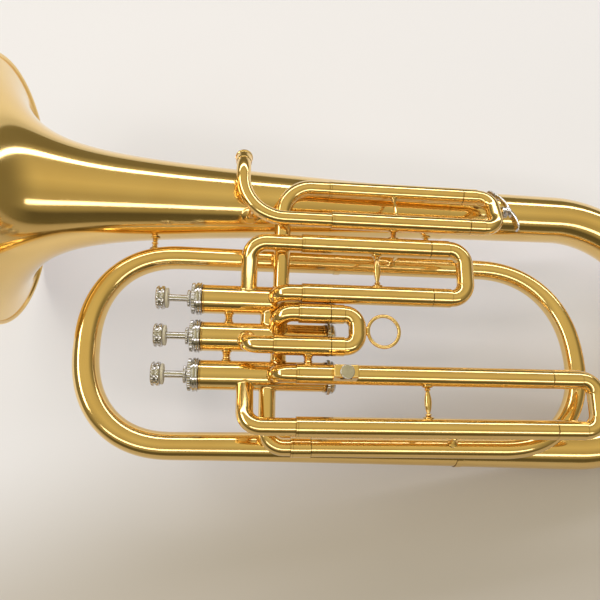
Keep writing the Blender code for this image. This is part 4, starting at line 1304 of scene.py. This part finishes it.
@dataclass(frozen=True)
class Slides:
    """The valve slides and the main slide, with the second slide's pull ring.

    Each slide's y is that of its upper and its lower leg. Its x gives where its outer tubes
    start, where they end and where the last band of its ferrules starts.
    """

    height: float = 21.0
    y_1: tuple[float, float] = (66.3, 29.3)
    y_2: tuple[float, float] = (14.7, -8.4)
    y_3: tuple[float, float] = (-28.0, -63.7)
    x_1: Triple = (74.0, 169.0, 181.2)
    x_2: Triple = (72.0, 94.4, 102.2)
    x_3: Triple = (70.7, 254.0, 274.0)
    lower_x_2: float = 54.5
    ports_1: tuple[float, float] = (36.8, 57.6)
    ports_2: tuple[float, float] = (58.8, 36.5)
    ports_3: tuple[float, float] = (57.6, 36.2)
    leg_starts: Triple = (86.0, 76.5, 90.0)
    wide_bend: float = 12.0
    tight_bend: float = 9.5
    main_upper: tuple[float, float] = (113.3, 14.0)
    main_lower: tuple[float, float] = (84.5, 24.0)
    main_x: Triple = (95.2, 199.1, 209.0)
    main_leg_start: float = 110.0
    main_leg: float = 5.5
    main_crook: float = 5.7
    main_bend: float = 11.5
    entry_port: float = 60.7
    entry_bend: float = 21.0
    exit_port: float = 52.2
    exit_x: tuple[float, float] = (69.0, 83.2)
    exit_sleeve: float = 7.1
    sleeve: float = SlidePipe.sleeve
    main_sleeve: float = 6.4
    ring_radius: float = 11.2
    ring_wire: float = 1.3

    def pipes(self) -> list[SlidePipe]:
        """The pipes that leave the casings.

        Returns:
            The pipes, from the first valve's to the last one's, then the entry and the exit.
        """
        z, wide, tight = self.height, self.wide_bend, self.tight_bend
        entry, leaving = self.main_x[:2], (Loops.bottom_y, Loops.branch_height)
        return [
            SlidePipe("slide_1_upper_pipe", 1, self.ports_1[0], self.y_1[0], z, wide, *self.x_1[:2]),
            SlidePipe("slide_1_lower_pipe", 1, self.ports_1[1], self.y_1[1], z, tight, *self.x_1[:2]),
            SlidePipe("slide_2_upper_pipe", 2, self.ports_2[0], self.y_2[0], z, tight, *self.x_2[:2]),
            SlidePipe("slide_2_lower_pipe", 2, self.ports_2[1], self.y_2[1], z, tight, self.lower_x_2,
                      self.x_2[1]),
            SlidePipe("slide_3_upper_pipe", 3, self.ports_3[0], self.y_3[0], z, tight, *self.x_3[:2]),
            SlidePipe("slide_3_lower_pipe", 3, self.ports_3[1], self.y_3[1], z, wide, *self.x_3[:2]),
            SlidePipe("valve_entry_pipe", 1, self.entry_port, *self.main_upper, self.entry_bend, *entry,
                      sleeve=self.main_sleeve),
            SlidePipe("valve_exit_pipe", 3, self.exit_port, *leaving, wide, *self.exit_x,
                      sleeve=self.exit_sleeve),
        ]

    def crooks(self) -> list[SlideCrook]:
        """The crooks that slide in the outer tubes.

        Returns:
            The three valve slides' crooks and the main slide's.
        """
        z, made = self.height, []
        bends = (self.wide_bend, self.tight_bend, self.wide_bend)
        rows = zip((self.y_1, self.y_2, self.y_3), self.leg_starts, (self.x_1, self.x_2, self.x_3), bends)
        for number, (y, leg_start, x, bend) in enumerate(rows, 1):
            name = f"slide_{number}"
            made.append(SlideCrook(f"{name}_crook", name, (y[0], z), (y[1], z), leg_start, x[1:], bend))
        made.append(SlideCrook("main_slide_crook", "main_slide", self.main_upper, self.main_lower,
                               self.main_leg_start, self.main_x[1:], self.main_bend, self.main_leg,
                               self.main_crook))
        return made

    def add_pull_ring(self, shop: Workshop) -> None:
        """Adds the ring on the second crook, with the foot that solders it on.

        The wire's centre line is middle + ring_radius (cos(a), sin(a), 0).

        Args:
            shop: Makes the pieces.
        """
        apex = self.x_2[2] + SlideCrook.band_length + self.tight_bend + SlideCrook.radius
        middle = (apex + 0.3 + self.ring_wire + self.ring_radius, sum(self.y_2) / 2, self.height)
        angle = np.linspace(0.0, 2.0 * math.pi, 96, endpoint=False)
        circle = np.stack((np.cos(angle), np.sin(angle), np.zeros(96)), axis=-1)
        ring = Stations.along(np.array(middle) + self.ring_radius * circle, self.ring_wire)
        foot = lump((apex + 0.8, middle[1], middle[2]), (1.2, 3.4, 2.0), np.eye(3), 0.8)
        shells = [tube(ring, 0.0, 20, cyclic=True), foot]
        shop.add("slide_2_pull_ring_wire", shells, TURNED_BRASS, "slide_2", ["slide_2_pull_ring"])

    def build(self, shop: Workshop, valves: Valves) -> None:
        """Adds every pipe and crook.

        Args:
            shop: Makes the pieces.
            valves: The valves that the pipes stand on.
        """
        for pipe in self.pipes():
            pipe.build(shop, valves)
        for crook in self.crooks():
            crook.build(shop)
        self.add_pull_ring(shop)


@dataclass(frozen=True)
class Leadpipe:
    """The leadpipe, its mouthpiece receiver, and the post that carries it on the bell."""

    x: float = 30.2
    bend: float = 31.0
    tip_y: float = 122.2
    tip_bend: float = 18.0
    tip_drop: float = 32.0
    leg: tuple[float, float] = Slides.main_lower
    radius: float = 5.4
    sleeve: float = Slides.main_sleeve
    sleeve_x: tuple[float, float] = Slides.main_x[:2]
    wall: float = 0.5
    receiver_length: float = 8.5
    receiver_radius: float = 6.5
    foot: tuple[float, float] = (36.0, 94.5)
    foot_radius: float = 6.8
    post_radius: float = 2.4

    def drop(self) -> Array:
        """Direction of the tip, out of the receiver."""
        angle = math.radians(self.tip_drop)
        return np.array((0.0, math.cos(angle), -math.sin(angle)))

    def tip(self) -> Array:
        """End of the leadpipe's last bend, where the receiver starts."""
        half = self.tip_bend * math.tan(math.radians(self.tip_drop) / 2)
        return np.array((self.x, self.tip_y, self.leg[1])) + self.drop() * half

    def stations(self) -> Stations:
        """The leadpipe from the receiver to the end of the main slide's lower outer tube.

        Returns:
            Its stations.
        """
        y, z = self.leg
        start, end = self.sleeve_x
        mouth, top, knee = self.tip() + self.drop() * 2.2, (self.x, self.tip_y, z), (self.x, y, z)
        bent = filleted((mouth, top, knee, (start - 1.2, y, z)), [self.tip_bend, self.bend], 32)
        run = Stations.straight((start, y, z), X_WAY, socket(self.radius, self.sleeve, end - start))
        return Stations.along(bent[:-1], self.radius).then(run)

    def post_shells(self, bell: Bell) -> list[Shell]:
        """The post's round foot on the bell and its waisted stem.

        Args:
            bell: The bell that carries the post.

        Returns:
            The shells of the foot and of the stem.
        """
        x, y = self.foot
        seat = bell.seat(x)
        fall = math.sqrt(seat.radius**2 - (bell.mouth[1] - y) ** 2)
        way = unit(np.array((x, y, bell.mouth[2] + fall)) - np.array(seat.point))
        # The stem meets the leadpipe half way round its bend.
        across = self.bend * math.cos(math.pi / 4)
        rest = np.array((self.x + self.bend - across, self.leg[0] + self.bend - across, self.leg[1]))
        base = np.array(seat.point) + way * seat.radius
        wide = self.foot_radius
        plate = [(0.0, 0.0), (wide, 0.0), (wide, 0.7), (wide - 0.8, 1.2), (0.0, 1.3)]
        disc = turned(eased(plate, 0.3), base, way, 56)
        held = seat.hold(disc.points, way, 12.0)
        reach = float(np.linalg.norm(rest - base)) - self.radius
        marks = [
            (0.6, 3.2, 0.0), (1.4, 2.3, 0.0), (2.6, 1.9, 0.0), (reach * 0.6, self.post_radius, 0.0),
            (reach, 2.6, 0.0), (reach + 1.5, 2.6, 0.0),
        ]
        stem = Stations.straight(base, unit(rest - base), marks)
        return [Shell(held, disc.faces, disc.seam), tube(stem, 0.0, 32, X_WAY)]

    def build(self, shop: Workshop, bell: Bell) -> None:
        """Adds the leadpipe, the receiver and the post.

        Args:
            shop: Makes the pieces.
            bell: The bell that carries the post.
        """
        shop.add("leadpipe_tube", tube(self.stations(), self.wall, 56), TUBE_BRASS, nodes=["leadpipe"])
        length, wide = self.receiver_length, self.receiver_radius
        profile = [
            (wide - 1.5, length), (wide - 0.3, length), (wide, length - 0.3), (wide, length - 1.7),
            (wide - 0.5, length - 2.1), (wide - 0.6, length - 2.6), (self.radius + 0.5, 1.5),
            (self.radius + 0.3, 0.0), (self.radius - self.wall, 0.0),
        ]
        origin = self.tip() + self.drop() * 2.25
        shell = turned(eased(profile, 0.25, 4, loop=True), origin, self.drop(), 64, loop=True)
        shop.add("mouthpiece_receiver_sleeve", shell, TURNED_BRASS, nodes=["mouthpiece_receiver"])
        shop.add("leadpipe_post_turned", self.post_shells(bell), TURNED_BRASS, nodes=["leadpipe_post"])


class Turning(Enum):
    """How a brace's bar is turned, as its bead's radius and the bar's belly and neck."""

    SLENDER = (1.3, 1.3, 1.0)
    PLAIN = (1.8, 2.0, 1.3)
    BELLIED = (1.9, 2.6, 1.2)
    BARREL = (2.8, 2.9, 2.1)


@dataclass(frozen=True)
class Brace:
    """A turned brace between two tubes, with a flange saddled on each."""

    name: str
    first: Seat
    second: Seat
    turning: Turning = Turning.PLAIN
    flange: float = 3.7
    foot_length: float = 3.2
    seat_reach: float = 2.5

    def shell(self) -> Shell:
        """Flange, fillet, bead and neck at each end, with a swelling bar between them.

        The bar's radius at the share s of its length is neck + (belly - neck) sin(pi s). On
        a short brace both ends shrink, so that each takes at most 0.42 of it.

        Returns:
            The closed shell.
        """
        bead, belly, neck = self.turning.value
        start, end = np.array(self.first.point), np.array(self.second.point)
        way = unit(end - start)
        length = float(np.linalg.norm(end - start)) - self.first.radius - self.second.radius
        scale = min(1.0, length * 0.42 / self.foot_length)
        # The third value paints shade into the flange's crease on the tube and into the necks beside the
        # bead.
        foot = [
            (0.0, self.flange, 0.8), (0.55, self.flange, 0.0), (0.85, self.flange - 0.5, 0.0),
            (1.1, neck + 0.9, 0.3), (1.6, neck + 0.2, 0.2), (1.9, bead + 0.25, 0.0),
            (2.35, bead + 0.4, 0.0), (2.75, bead, 0.0), (self.foot_length, neck, 0.3),
        ]
        rise = [(far * scale, size, shade) for far, size, shade in foot]
        share = np.linspace(0.0, 1.0, 13)[1:-1]
        inner = length - 2 * rise[-1][0]
        bar = [(rise[-1][0] + inner * s, neck + (belly - neck) * math.sin(math.pi * s), 0.0) for s in share]
        marks = rise + bar + [(length - far, size, shade) for far, size, shade in reversed(rise)]
        base, reach = start + way * self.first.radius, min(self.seat_reach, length / 2)
        seats = [(self.first, way, reach), (self.second, -way, reach)]
        up = unit(np.cross(way, np.asarray(self.first.way)))
        return tube(Stations.straight(base, way, marks), 0.0, 32, up, seats=seats)

    def build(self, shop: Workshop) -> None:
        """Adds the brace."""
        shop.add(f"{self.name}_turned", self.shell(), TURNED_BRASS, nodes=[self.name])


@dataclass(frozen=True)
class Braces:
    """All the braces between the tubes."""

    bell: Bell
    loops: Loops
    valves: Valves
    slides: Slides

    slender_flange: float = 2.6

    def run(self, x: float, y: float) -> Seat:
        """A valve slide's outer tube as a seat."""
        return Seat((x, y, self.slides.height), X_WAY, self.slides.sleeve)

    def main_run(self, x: float, place: tuple[float, float]) -> Seat:
        """An outer tube of the main slide as a seat."""
        return Seat((x, *place), X_WAY, self.slides.main_sleeve)

    def every(self) -> list[Brace]:
        """The braces with their seats, each named for what it joins.

        Returns:
            The braces.
        """
        s, casing, loop = self.slides, self.valves.seat, self.loops.seat
        small, large = self.loops.small_stations(), self.loops.large_stations()
        top = (self.loops.top_y, self.loops.depth)
        low = (self.loops.bottom_y, self.loops.branch_height)
        ends = {
            "valves_1_2": (casing(1, 23.1), casing(2, 23.1), Turning.BARREL),
            "valves_2_3": (casing(2, 22.4), casing(3, 22.4), Turning.BARREL),
            "slides_2_3": (self.run(79.0, s.y_2[1]), self.run(79.0, s.y_3[0]), Turning.BARREL),
            "slide_1": (self.run(129.2, s.y_1[0]), self.run(129.2, s.y_1[1]), Turning.BELLIED),
            "slide_3": (self.run(163.1, s.y_3[0]), self.run(163.1, s.y_3[1]), Turning.BELLIED),
            "main_slide": (self.main_run(144.8, s.main_upper), self.main_run(144.8, s.main_lower),
                           Turning.SLENDER, self.slender_flange),
            "main_to_slide_1": (self.main_run(141.8, s.main_lower), self.run(141.8, s.y_1[0]),
                                Turning.BELLIED),
            "slide_1_to_loop": (self.run(149.4, s.y_1[0]), loop(small, 149.4, *top)),
            "slide_3_to_loop": (self.run(184.9, s.y_3[1]), loop(small, 184.9, *low)),
            "bell_to_loop": (self.bell.seat(182.0), loop(small, 182.0, *top)),
            "bell_to_bow": (self.bell.seat(-36.9), loop(large, -36.9, *top), Turning.BELLIED),
        }
        return [Brace(f"brace_{name}", *rest) for name, rest in ends.items()]

    def build(self, shop: Workshop) -> None:
        """Adds every brace."""
        for brace in self.every():
            brace.build(shop)


@dataclass(frozen=True)
class LyreSocket:
    """The lyre's box on the third slide's upper tube, and its thumbscrew."""

    y: float = Slides.y_3[0]
    height: float = Slides.height
    tube_radius: float = Slides.sleeve
    x: tuple[float, float] = (95.0, 112.0)
    width: float = 10.4
    box_height: float = 9.4
    slant: float = 2.0
    roof: float = 2.4
    slot: tuple[float, float] = (8.0, 3.2)
    head_radius: float = 5.0
    head_height: float = 3.2
    shank: float = 1.7

    def box_shell(self) -> Shell:
        """The box: an eased section carried across the tube, round the outside and back through the slot.

        The underside's height is the higher of the base and the tube's own top at that y. The
        side towards -y leans in by `slant` from the base to the top.

        Returns:
            The closed shell.
        """
        middle, base = sum(self.x) / 2, self.height + self.tube_radius * 0.75
        top = base + self.box_height
        wide, tall = (self.x[1] - self.x[0]) / 2, self.box_height / 2
        outer = [(-wide, base), (wide, base), (wide, top), (-wide, top)]
        low = top - self.roof - self.slot[1]
        half = self.slot[0] / 2
        hole = [(-half, low), (half, low), (half, low + self.slot[1]), (-half, low + self.slot[1])]
        places, ease = np.linspace(-self.width / 2, self.width / 2, 25), 0.5
        edge = np.minimum(places + self.width / 2, self.width / 2 - places)
        shrink = ease * np.clip(1.0 - edge / ease, 0.0, 1.0)
        ring = eased(outer, 0.9, 5, loop=True)
        centre = np.array((0.0, base + tall))
        scale = 1.0 - shrink[:, None, None] / np.array((wide, tall))
        grown = centre + (ring[None] - centre) * scale
        inner = np.repeat(eased(hole, 0.4, 5, loop=True)[None], len(places), axis=0)[::-1]
        across = np.broadcast_to(places[:, None], grown.shape[:2])
        under = self.height + np.sqrt(np.maximum((self.tube_radius + CLEAR) ** 2 - across**2, 0.0))
        height = grown[..., 1]
        grown[..., 1] = np.where(ring[None, :, 1] < base + 1.0, np.maximum(height, under), height)
        section = np.concatenate((grown, inner))
        side = np.concatenate((across, across[::-1]))
        lean = self.slant * np.clip((section[..., 1] - base) / self.box_height, 0.0, 1.0)
        side = side + lean * np.clip(-side / (self.width / 2) * 1.4, 0.0, 1.0)
        grid = np.stack((middle + section[..., 0], self.y + side, section[..., 1]), axis=-1)
        return shell_of(grid, True)

    def build(self, shop: Workshop) -> None:
        """Adds the box and the thumbscrew with its knurled head.

        Args:
            shop: Makes the pieces.
        """
        shop.add("lyre_socket_box", self.box_shell(), TURNED_BRASS, nodes=["lyre_socket"])
        top = self.height + self.tube_radius * 0.75 + self.box_height
        wide, tall, deep = self.head_radius, self.head_height, self.roof + self.slot[1] / 3
        profile = [(0.0, tall - 0.3), (wide * 0.6, tall - 0.1), (wide * 0.9, tall), (wide, tall - 0.5),
                   (wide, 0.9), (wide * 0.9, 0.4), (self.shank + 0.8, 0.1), (self.shank, 0.0),
                   (self.shank, -deep), (0.0, -deep)]
        knurls = (Knurl(36, 0.35, 0.7, tall - 0.4),)
        shell = turned(eased(profile, 0.3), (sum(self.x) / 2, self.y, top), Z_WAY, 180, knurls=knurls)
        shop.add("lyre_screw_plated", shell, NICKEL, "lyre_screw", ["lyre_screw"])


@dataclass(frozen=True)
class WaterKey:
    """The water key on the main slide's crook, laid out in the crook's own plane.

    Its places run along the horn and across the crook from the middle of the cross run. The
    arm is the lever's centre line, and the strap gives the share of it, the lever's half
    thickness and its half width.
    """

    slides: Slides
    crook_x: float = Slides.main_x[2]
    band_length: float = SlideCrook.band_length
    bend: float = Slides.main_bend
    crook_radius: float = Slides.main_crook
    pivot: tuple[float, float] = (10.0, 1.2)
    arm: Sequence[tuple[float, float]] = (
        (7.8, 15.2), (11.8, 8.5), (12.6, 2.0), (14.4, -3.0), (15.4, -9.0), (15.2, -16.6),
    )
    strap: Sequence[Triple] = (
        (0.0, 1.0, 2.2), (0.45, 1.1, 1.8), (0.58, 1.5, 2.5), (0.72, 1.2, 3.0), (0.9, 1.0, 3.3),
        (0.97, 0.8, 2.8), (1.0, 0.3, 1.4),
    )
    cup_angle: float = 50.0
    cup_radius: float = 3.8
    nipple_radius: float = 2.4
    nipple_height: float = 1.4
    hole: float = 1.3
    cork: float = 1.2
    barrel: float = 2.1
    barrel_half: float = 2.6
    ear_half: float = 4.2
    pin: float = 0.9

    def axes(self) -> Array:
        """The crook's own axes.

        Returns:
            Rows along the horn, across the crook from its lower leg, and out of its plane.
        """
        upper, lower = (np.array((0.0, *leg)) for leg in (self.slides.main_upper, self.slides.main_lower))
        side = unit(upper - lower)
        return np.array((X_WAY, side, np.cross(X_WAY, side)))

    def point(self, along: float, across: float) -> Array:
        """Place in the crook's plane, measured from the middle of its cross run.

        Args:
            along: Distance along the horn.
            across: Distance across the crook, towards its upper leg.

        Returns:
            The place in the horn's frame.
        """
        upper, lower = (np.array((0.0, *leg)) for leg in (self.slides.main_upper, self.slides.main_lower))
        start = self.crook_x + self.band_length + self.bend
        return (upper + lower) / 2 + np.array((start + along, 0.0, 0.0)) + across * self.axes()[1]

    def seat(self) -> tuple[Array, Array]:
        """Place and direction of the nipple on the crook's upper bend.

        Returns:
            The place on the crook's outside and the direction away from it.
        """
        angle = math.radians(self.cup_angle)
        out = math.cos(angle) * self.axes()[0] + math.sin(angle) * self.axes()[1]
        legs = np.array(self.slides.main_upper) - np.array(self.slides.main_lower)
        half = float(np.linalg.norm(legs)) / 2
        return self.point(-self.bend, half - self.bend) + out * (self.bend + self.crook_radius), out

    def add_nipple(self, shop: Workshop) -> None:
        """Adds the nipple, with a flared foot on the crook, and the cork that closes it.

        Args:
            shop: Makes the pieces.
        """
        wall, out = self.seat()
        wide, tall, hole = self.nipple_radius, self.nipple_height, self.hole
        profile = [
            (hole, tall), (wide - 0.2, tall), (wide, tall - 0.3), (wide, 0.6), (wide + 0.9, -0.2),
            (hole, -0.2),
        ]
        nipple = turned(eased(profile, 0.2, 3, loop=True), wall, out, 48, loop=True)
        shop.add("water_key_nipple_plated", nipple, NICKEL, "main_slide", ["water_key_nipple"])
        radius, low = self.cup_radius - 0.75, tall + CLEAR
        profile = [(0.0, low + self.cork), (radius, low + self.cork), (radius, low), (0.0, low)]
        cork = turned(eased(profile, 0.3), wall, out, 48)
        shop.add("water_key_cork_disc", cork, CORK, "water_key", ["water_key_cork"])

    def add_lever(self, shop: Workshop) -> None:
        """Adds the cup, the hinge barrel and the strap that curves from the cup to the finger.

        Args:
            shop: Makes the pieces.
        """
        wall, out = self.seat()
        up = self.axes()[2]
        wide, rim = self.cup_radius, self.nipple_height + 0.5
        base = rim + self.cork - 0.35
        cup = [
            (0.0, base + 1.2), (wide * 0.6, base + 1.15), (wide * 0.85, base + 0.8), (wide, base + 0.1),
            (wide, rim), (wide - 0.7, rim), (wide - 0.7, base), (0.0, base),
        ]
        path = smoothed([wall + out * (base + 1.1)] + [self.point(*place) for place in self.arm], 10)
        pivot = self.point(*self.pivot)
        barrel = [(self.pin + 0.15, -self.barrel_half), (self.barrel, -self.barrel_half),
                  (self.barrel, self.barrel_half), (self.pin + 0.15, self.barrel_half)]
        hinge = turned(eased(barrel, 0.3, 3, loop=True), pivot, up, 48, loop=True)
        joint = lump((pivot + self.point(12.4, 2.0)) / 2, (1.6, 1.5, 1.5), self.axes(), 0.9)
        shells = [turned(eased(cup, 0.3), wall, out, 48), strap(path, self.strap, up), hinge, joint]
        shop.add("water_key_lever_plated", shells, NICKEL, "water_key", ["water_key_lever"])

    def add_saddle(self, shop: Workshop) -> None:
        """Adds the saddle's two ears with their foot on the crook, and the hinge pin.

        Args:
            shop: Makes the pieces.
        """
        up = self.axes()[2]
        pivot = self.point(*self.pivot)
        gap = self.barrel_half + 0.15
        thick = (self.ear_half - gap) / 2
        shells = []
        for sign in (-1.0, 1.0):
            middle = pivot + up * sign * (gap + thick)
            ring = [(self.pin, -thick), (self.barrel, -thick), (self.barrel, thick), (self.pin, thick)]
            shells.append(turned(eased(ring, 0.2, 3, loop=True), middle, up, 40, loop=True))
            leg = self.point(self.pivot[0] - 2.3, self.pivot[1]) + up * sign * (gap + thick)
            shells.append(lump(leg, (2.2, self.barrel * 0.85, thick * 0.98), self.axes(), 0.4))
        foot = self.point(self.crook_radius + 0.5, self.pivot[1])
        shells.append(lump(foot, (0.9, 3.4, self.ear_half), self.axes(), 0.6))
        shop.add("water_key_saddle_plated", shells, NICKEL, "main_slide", ["water_key_saddle"])
        reach = self.ear_half + 0.3
        pin = [(0.0, -reach), (self.pin * 1.3, -reach), (self.pin * 1.3, CLEAR - self.ear_half - 0.05),
               (self.pin - CLEAR, CLEAR - self.ear_half), (self.pin - CLEAR, reach), (0.0, reach)]
        shop.add("water_key_pin_steel", turned(eased(pin, 0.15), pivot, up, 32), NICKEL, "main_slide",
                 ["water_key_pin"])

    def build(self, shop: Workshop) -> None:
        """Adds the whole water key.

        Args:
            shop: Makes the pieces.
        """
        self.add_nipple(shop)
        self.add_lever(shop)
        self.add_saddle(shop)


# Studio


@dataclass(frozen=True)
class Lamp:
    """A soft box: its place and aim in the horn's frame, its size and its power."""

    name: str
    place: Triple
    size: tuple[float, float]
    power: float
    colour: str = "#FFFFFF"
    aim: Triple = (90.0, 20.0, 0.0)

    def build(self, lie: Lie) -> None:
        """Adds the lamp, facing its aim.

        Args:
            lie: Turns the horn's frame into the world.
        """
        light = bpy.data.lights.new(self.name, "AREA")
        light.shape = "RECTANGLE"
        light.size, light.size_y = (side * 0.001 for side in self.size)
        light.energy = self.power
        light.color = linear(self.colour)[:3]
        lamp = bpy.data.objects.new(self.name, light)
        bpy.context.scene.collection.objects.link(lamp)
        place, aim = lie.place(np.array((self.place, self.aim), dtype=float))
        back = unit(place - aim)
        side = unit(np.cross((0.0, 1.0, 0.0), back))
        lamp.matrix_world = pose_of(side, np.cross(back, side), back, place)


def pose_of(right: Array, up: Array, back: Array, place: Array) -> Matrix:
    """Matrix of an object with the given axes and place.

    Args:
        right: Its x axis.
        up: Its y axis.
        back: Its z axis.
        place: Its origin.

    Returns:
        The matrix.
    """
    table = np.eye(4)
    table[:3] = np.column_stack((right, up, back, place))
    return Matrix(table.tolist())


@dataclass(frozen=True)
class Studio:
    """A pale floor under soft light, and the camera above the horn.

    The camera and the lamps are placed in the horn's frame, in millimetres, and the floor in
    the world, in metres. The sky gives an angle in degrees and the light's level there.
    """

    lie: Lie
    camera_place: Triple = (31.4, -75.3, 417.6)
    camera_way: Triple = (0.1012, 0.242, -0.9648)
    camera_right: Triple = (0.9943, 0.009, 0.1065)
    lens: float = 34.8
    sensor: float = 36.0
    near_clip: float = 0.01
    floor_half: float = 4.0
    floor_depth: float = 0.0009
    floor_colour: str = "#C6BFB8"
    # Painted light on the floor: the glow's colour, the way it grows, where it grows and its levels.
    glow_colour: str = "#EAF2FF"
    glow_way: Triple = (-0.3, 1.0, 0.0)
    glow_span: tuple[float, float] = (-0.21, -0.03)
    glow_levels: tuple[float, float] = (0.05, 0.42)
    lamps: Sequence[Lamp] = (
        Lamp("skylight", (60.0, -1180.0, 1600.0), (3400.0, 300.0), 10.0, "#FBF8FF"),
        Lamp("long_window", (100.0, 760.0, 470.0), (2400.0, 120.0), 4.8, "#F2F4FF"),
        Lamp("end_window", (-900.0, 100.0, 600.0), (200.0, 900.0), 3.0),
    )
    sky: Sequence[tuple[float, float]] = (
        (-100.0, 0.55), (-80.0, 0.60), (-73.0, 0.14), (-48.0, 0.10), (-40.0, 0.34), (-16.0, 0.46),
        (-5.0, 0.46), (4.0, 0.54), (22.0, 0.66), (52.0, 0.54), (80.0, 0.38), (88.0, 0.20),
    )
    wall_level: float = 0.22
    wall_span: tuple[float, float] = (0.55, 0.95)
    sky_colour: str = "#FFF0BC"

    def axes(self) -> tuple[Array, Array, Array]:
        """The camera's axes.

        Returns:
            Its right, up and back directions in the world.
        """
        turn = self.lie.turn()
        back = unit(-np.array(self.camera_way)) @ turn.T
        right = np.array(self.camera_right) @ turn.T
        right = unit(right - back * float(right @ back))
        return right, np.cross(back, right), back

    def add_camera(self) -> None:
        """Adds the camera."""
        data = bpy.data.cameras.new("camera")
        data.lens = self.lens
        data.sensor_width = self.sensor
        data.clip_start = self.near_clip
        camera = bpy.data.objects.new("camera", data)
        bpy.context.scene.collection.objects.link(camera)
        camera.matrix_world = pose_of(*self.axes(), self.lie.place(np.array(self.camera_place)))
        bpy.context.scene.camera = camera

    def add_floor(self) -> None:
        """Adds the floor, a wide sheet of plain matt paper with a painted glow that brightens it from its
        near edge to its far one.

        The glow is painted light: it stands in for the light falling off across the floor towards the near
        edge. Only the picture and the horn's gloss see it, so the floor keeps the horn's shadow and lights
        nothing. It rises smoothly with the place's share along `glow_way`.
        """
        half, low = self.floor_half, -self.floor_depth
        mesh = bpy.data.meshes.new("floor")
        corners = [(-half, -half, low), (half, -half, low), (half, half, low), (-half, half, low)]
        mesh.from_pydata(corners, [], [(0, 1, 2, 3)])
        paper = bpy.data.materials.new("floor_paper")
        paper.use_nodes = True
        tree = paper.node_tree
        shader = tree.nodes["Principled BSDF"]
        place = add_node(tree, "ShaderNodeTexCoord").outputs["Object"]
        # Fibre of the paper, 1 mm apart.
        fibre = add_node(tree, "ShaderNodeTexNoise", Vector=place, Scale=1000.0, Detail=3.0).outputs["Fac"]
        bump = add_node(tree, "ShaderNodeBump", Height=fibre, Strength=0.05, Distance=0.0002)
        tree.links.new(bump.outputs[0], shader.inputs["Normal"])
        shader.inputs["Base Color"].default_value = linear(self.floor_colour)
        shader.inputs["Roughness"].default_value = 0.9
        seen = add_node(tree, "ShaderNodeLightPath").outputs
        gloss = add_node(tree, "ShaderNodeMath", {"operation": "MAXIMUM"}, n0=seen["Is Glossy Ray"],
                         n1=seen["Is Transmission Ray"])
        either = add_node(tree, "ShaderNodeMath", {"operation": "MAXIMUM"}, n0=seen["Is Camera Ray"],
                          n1=gloss.outputs[0])
        # Painted light: a glow that grows from the near edge to the far one, standing in for the light's
        # fall-off across the floor.
        far = add_node(tree, "ShaderNodeVectorMath", {"operation": "DOT_PRODUCT"}, n0=place,
                       n1=self.glow_way)
        (start, end), (low_glow, high_glow) = self.glow_span, self.glow_levels
        pale = add_node(tree, "ShaderNodeMapRange", {"interpolation_type": "SMOOTHSTEP"},
                        n0=far.outputs["Value"], n1=start, n2=end, n3=low_glow, n4=high_glow)
        glow = add_node(tree, "ShaderNodeMath", {"operation": "MULTIPLY"}, n0=either.outputs[0],
                        n1=pale.outputs[0])
        tree.links.new(glow.outputs[0], shader.inputs["Emission Strength"])
        shader.inputs["Emission Color"].default_value = linear(self.glow_colour)
        mesh.materials.append(paper)
        floor = bpy.data.objects.new("floor", mesh)
        bpy.context.scene.collection.objects.link(floor)

    def add_sky(self) -> None:
        """Lights the room by the angle round the horn's length, from 0 on the camera's side.

        The angle is atan2(d . up, d . back) for a direction d, and the levels at it are run
        through in order. Towards the horn's two ends the room fades to one wall level.
        """
        world = bpy.data.worlds.new("room")
        world.use_nodes = True
        tree = world.node_tree
        right, up, back = self.axes()
        way = add_node(tree, "ShaderNodeTexCoord").outputs["Generated"]
        shares = [add_node(tree, "ShaderNodeVectorMath", {"operation": "DOT_PRODUCT"}, n0=way, n1=tuple(axis))
                  for axis in (up, back, right)]
        high, near, side = (share.outputs["Value"] for share in shares)
        angle = add_node(tree, "ShaderNodeMath", {"operation": "ARCTAN2"}, n0=high, n1=near).outputs[0]
        place = add_node(tree, "ShaderNodeMapRange", n0=angle, n1=-math.pi, n2=math.pi).outputs[0]
        ramp = add_node(tree, "ShaderNodeValToRGB", Fac=place)
        while len(ramp.color_ramp.elements) < len(self.sky):
            ramp.color_ramp.elements.new(0.5)
        for stop, (degrees, level) in zip(ramp.color_ramp.elements, self.sky):
            stop.position = (degrees + 180.0) / 360.0
            stop.color = (level, level, level, 1.0)
        end = add_node(tree, "ShaderNodeMath", {"operation": "ABSOLUTE"}, n0=side).outputs[0]
        fade = add_node(tree, "ShaderNodeMapRange", {"interpolation_type": "SMOOTHSTEP"}, n0=end,
                        n1=self.wall_span[0], n2=self.wall_span[1])
        level = add_node(tree, "ShaderNodeMix", n0=fade.outputs[0], n2=ramp.outputs["Color"],
                         n3=self.wall_level)
        ground = tree.nodes["Background"]
        tree.links.new(level.outputs[0], ground.inputs["Strength"])
        ground.inputs["Color"].default_value = linear(self.sky_colour)
        bpy.context.scene.world = world

    def build(self) -> None:
        """Adds the floor, the light and the camera."""
        bpy.context.scene.view_settings.view_transform = "Standard"
        self.add_floor()
        self.add_sky()
        for lamp in self.lamps:
            lamp.build(self.lie)
        self.add_camera()


def main() -> None:
    """Builds the horn and the studio."""
    logging.basicConfig(level=logging.INFO, format="%(message)s")
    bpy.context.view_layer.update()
    shop = Workshop()
    bell, loops, valves, slides = Bell(), Loops(), Valves(), Slides()
    bell.build(shop)
    loops.build(shop)
    valves.build(shop)
    slides.build(shop, valves)
    Leadpipe().build(shop, bell)
    Braces(bell, loops, valves, slides).build(shop)
    LyreSocket().build(shop)
    WaterKey(slides).build(shop)
    Studio(shop.lie).build()
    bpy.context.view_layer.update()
    LOG.info("%d pieces", shop.made)


if __name__ == "__main__":
    main()
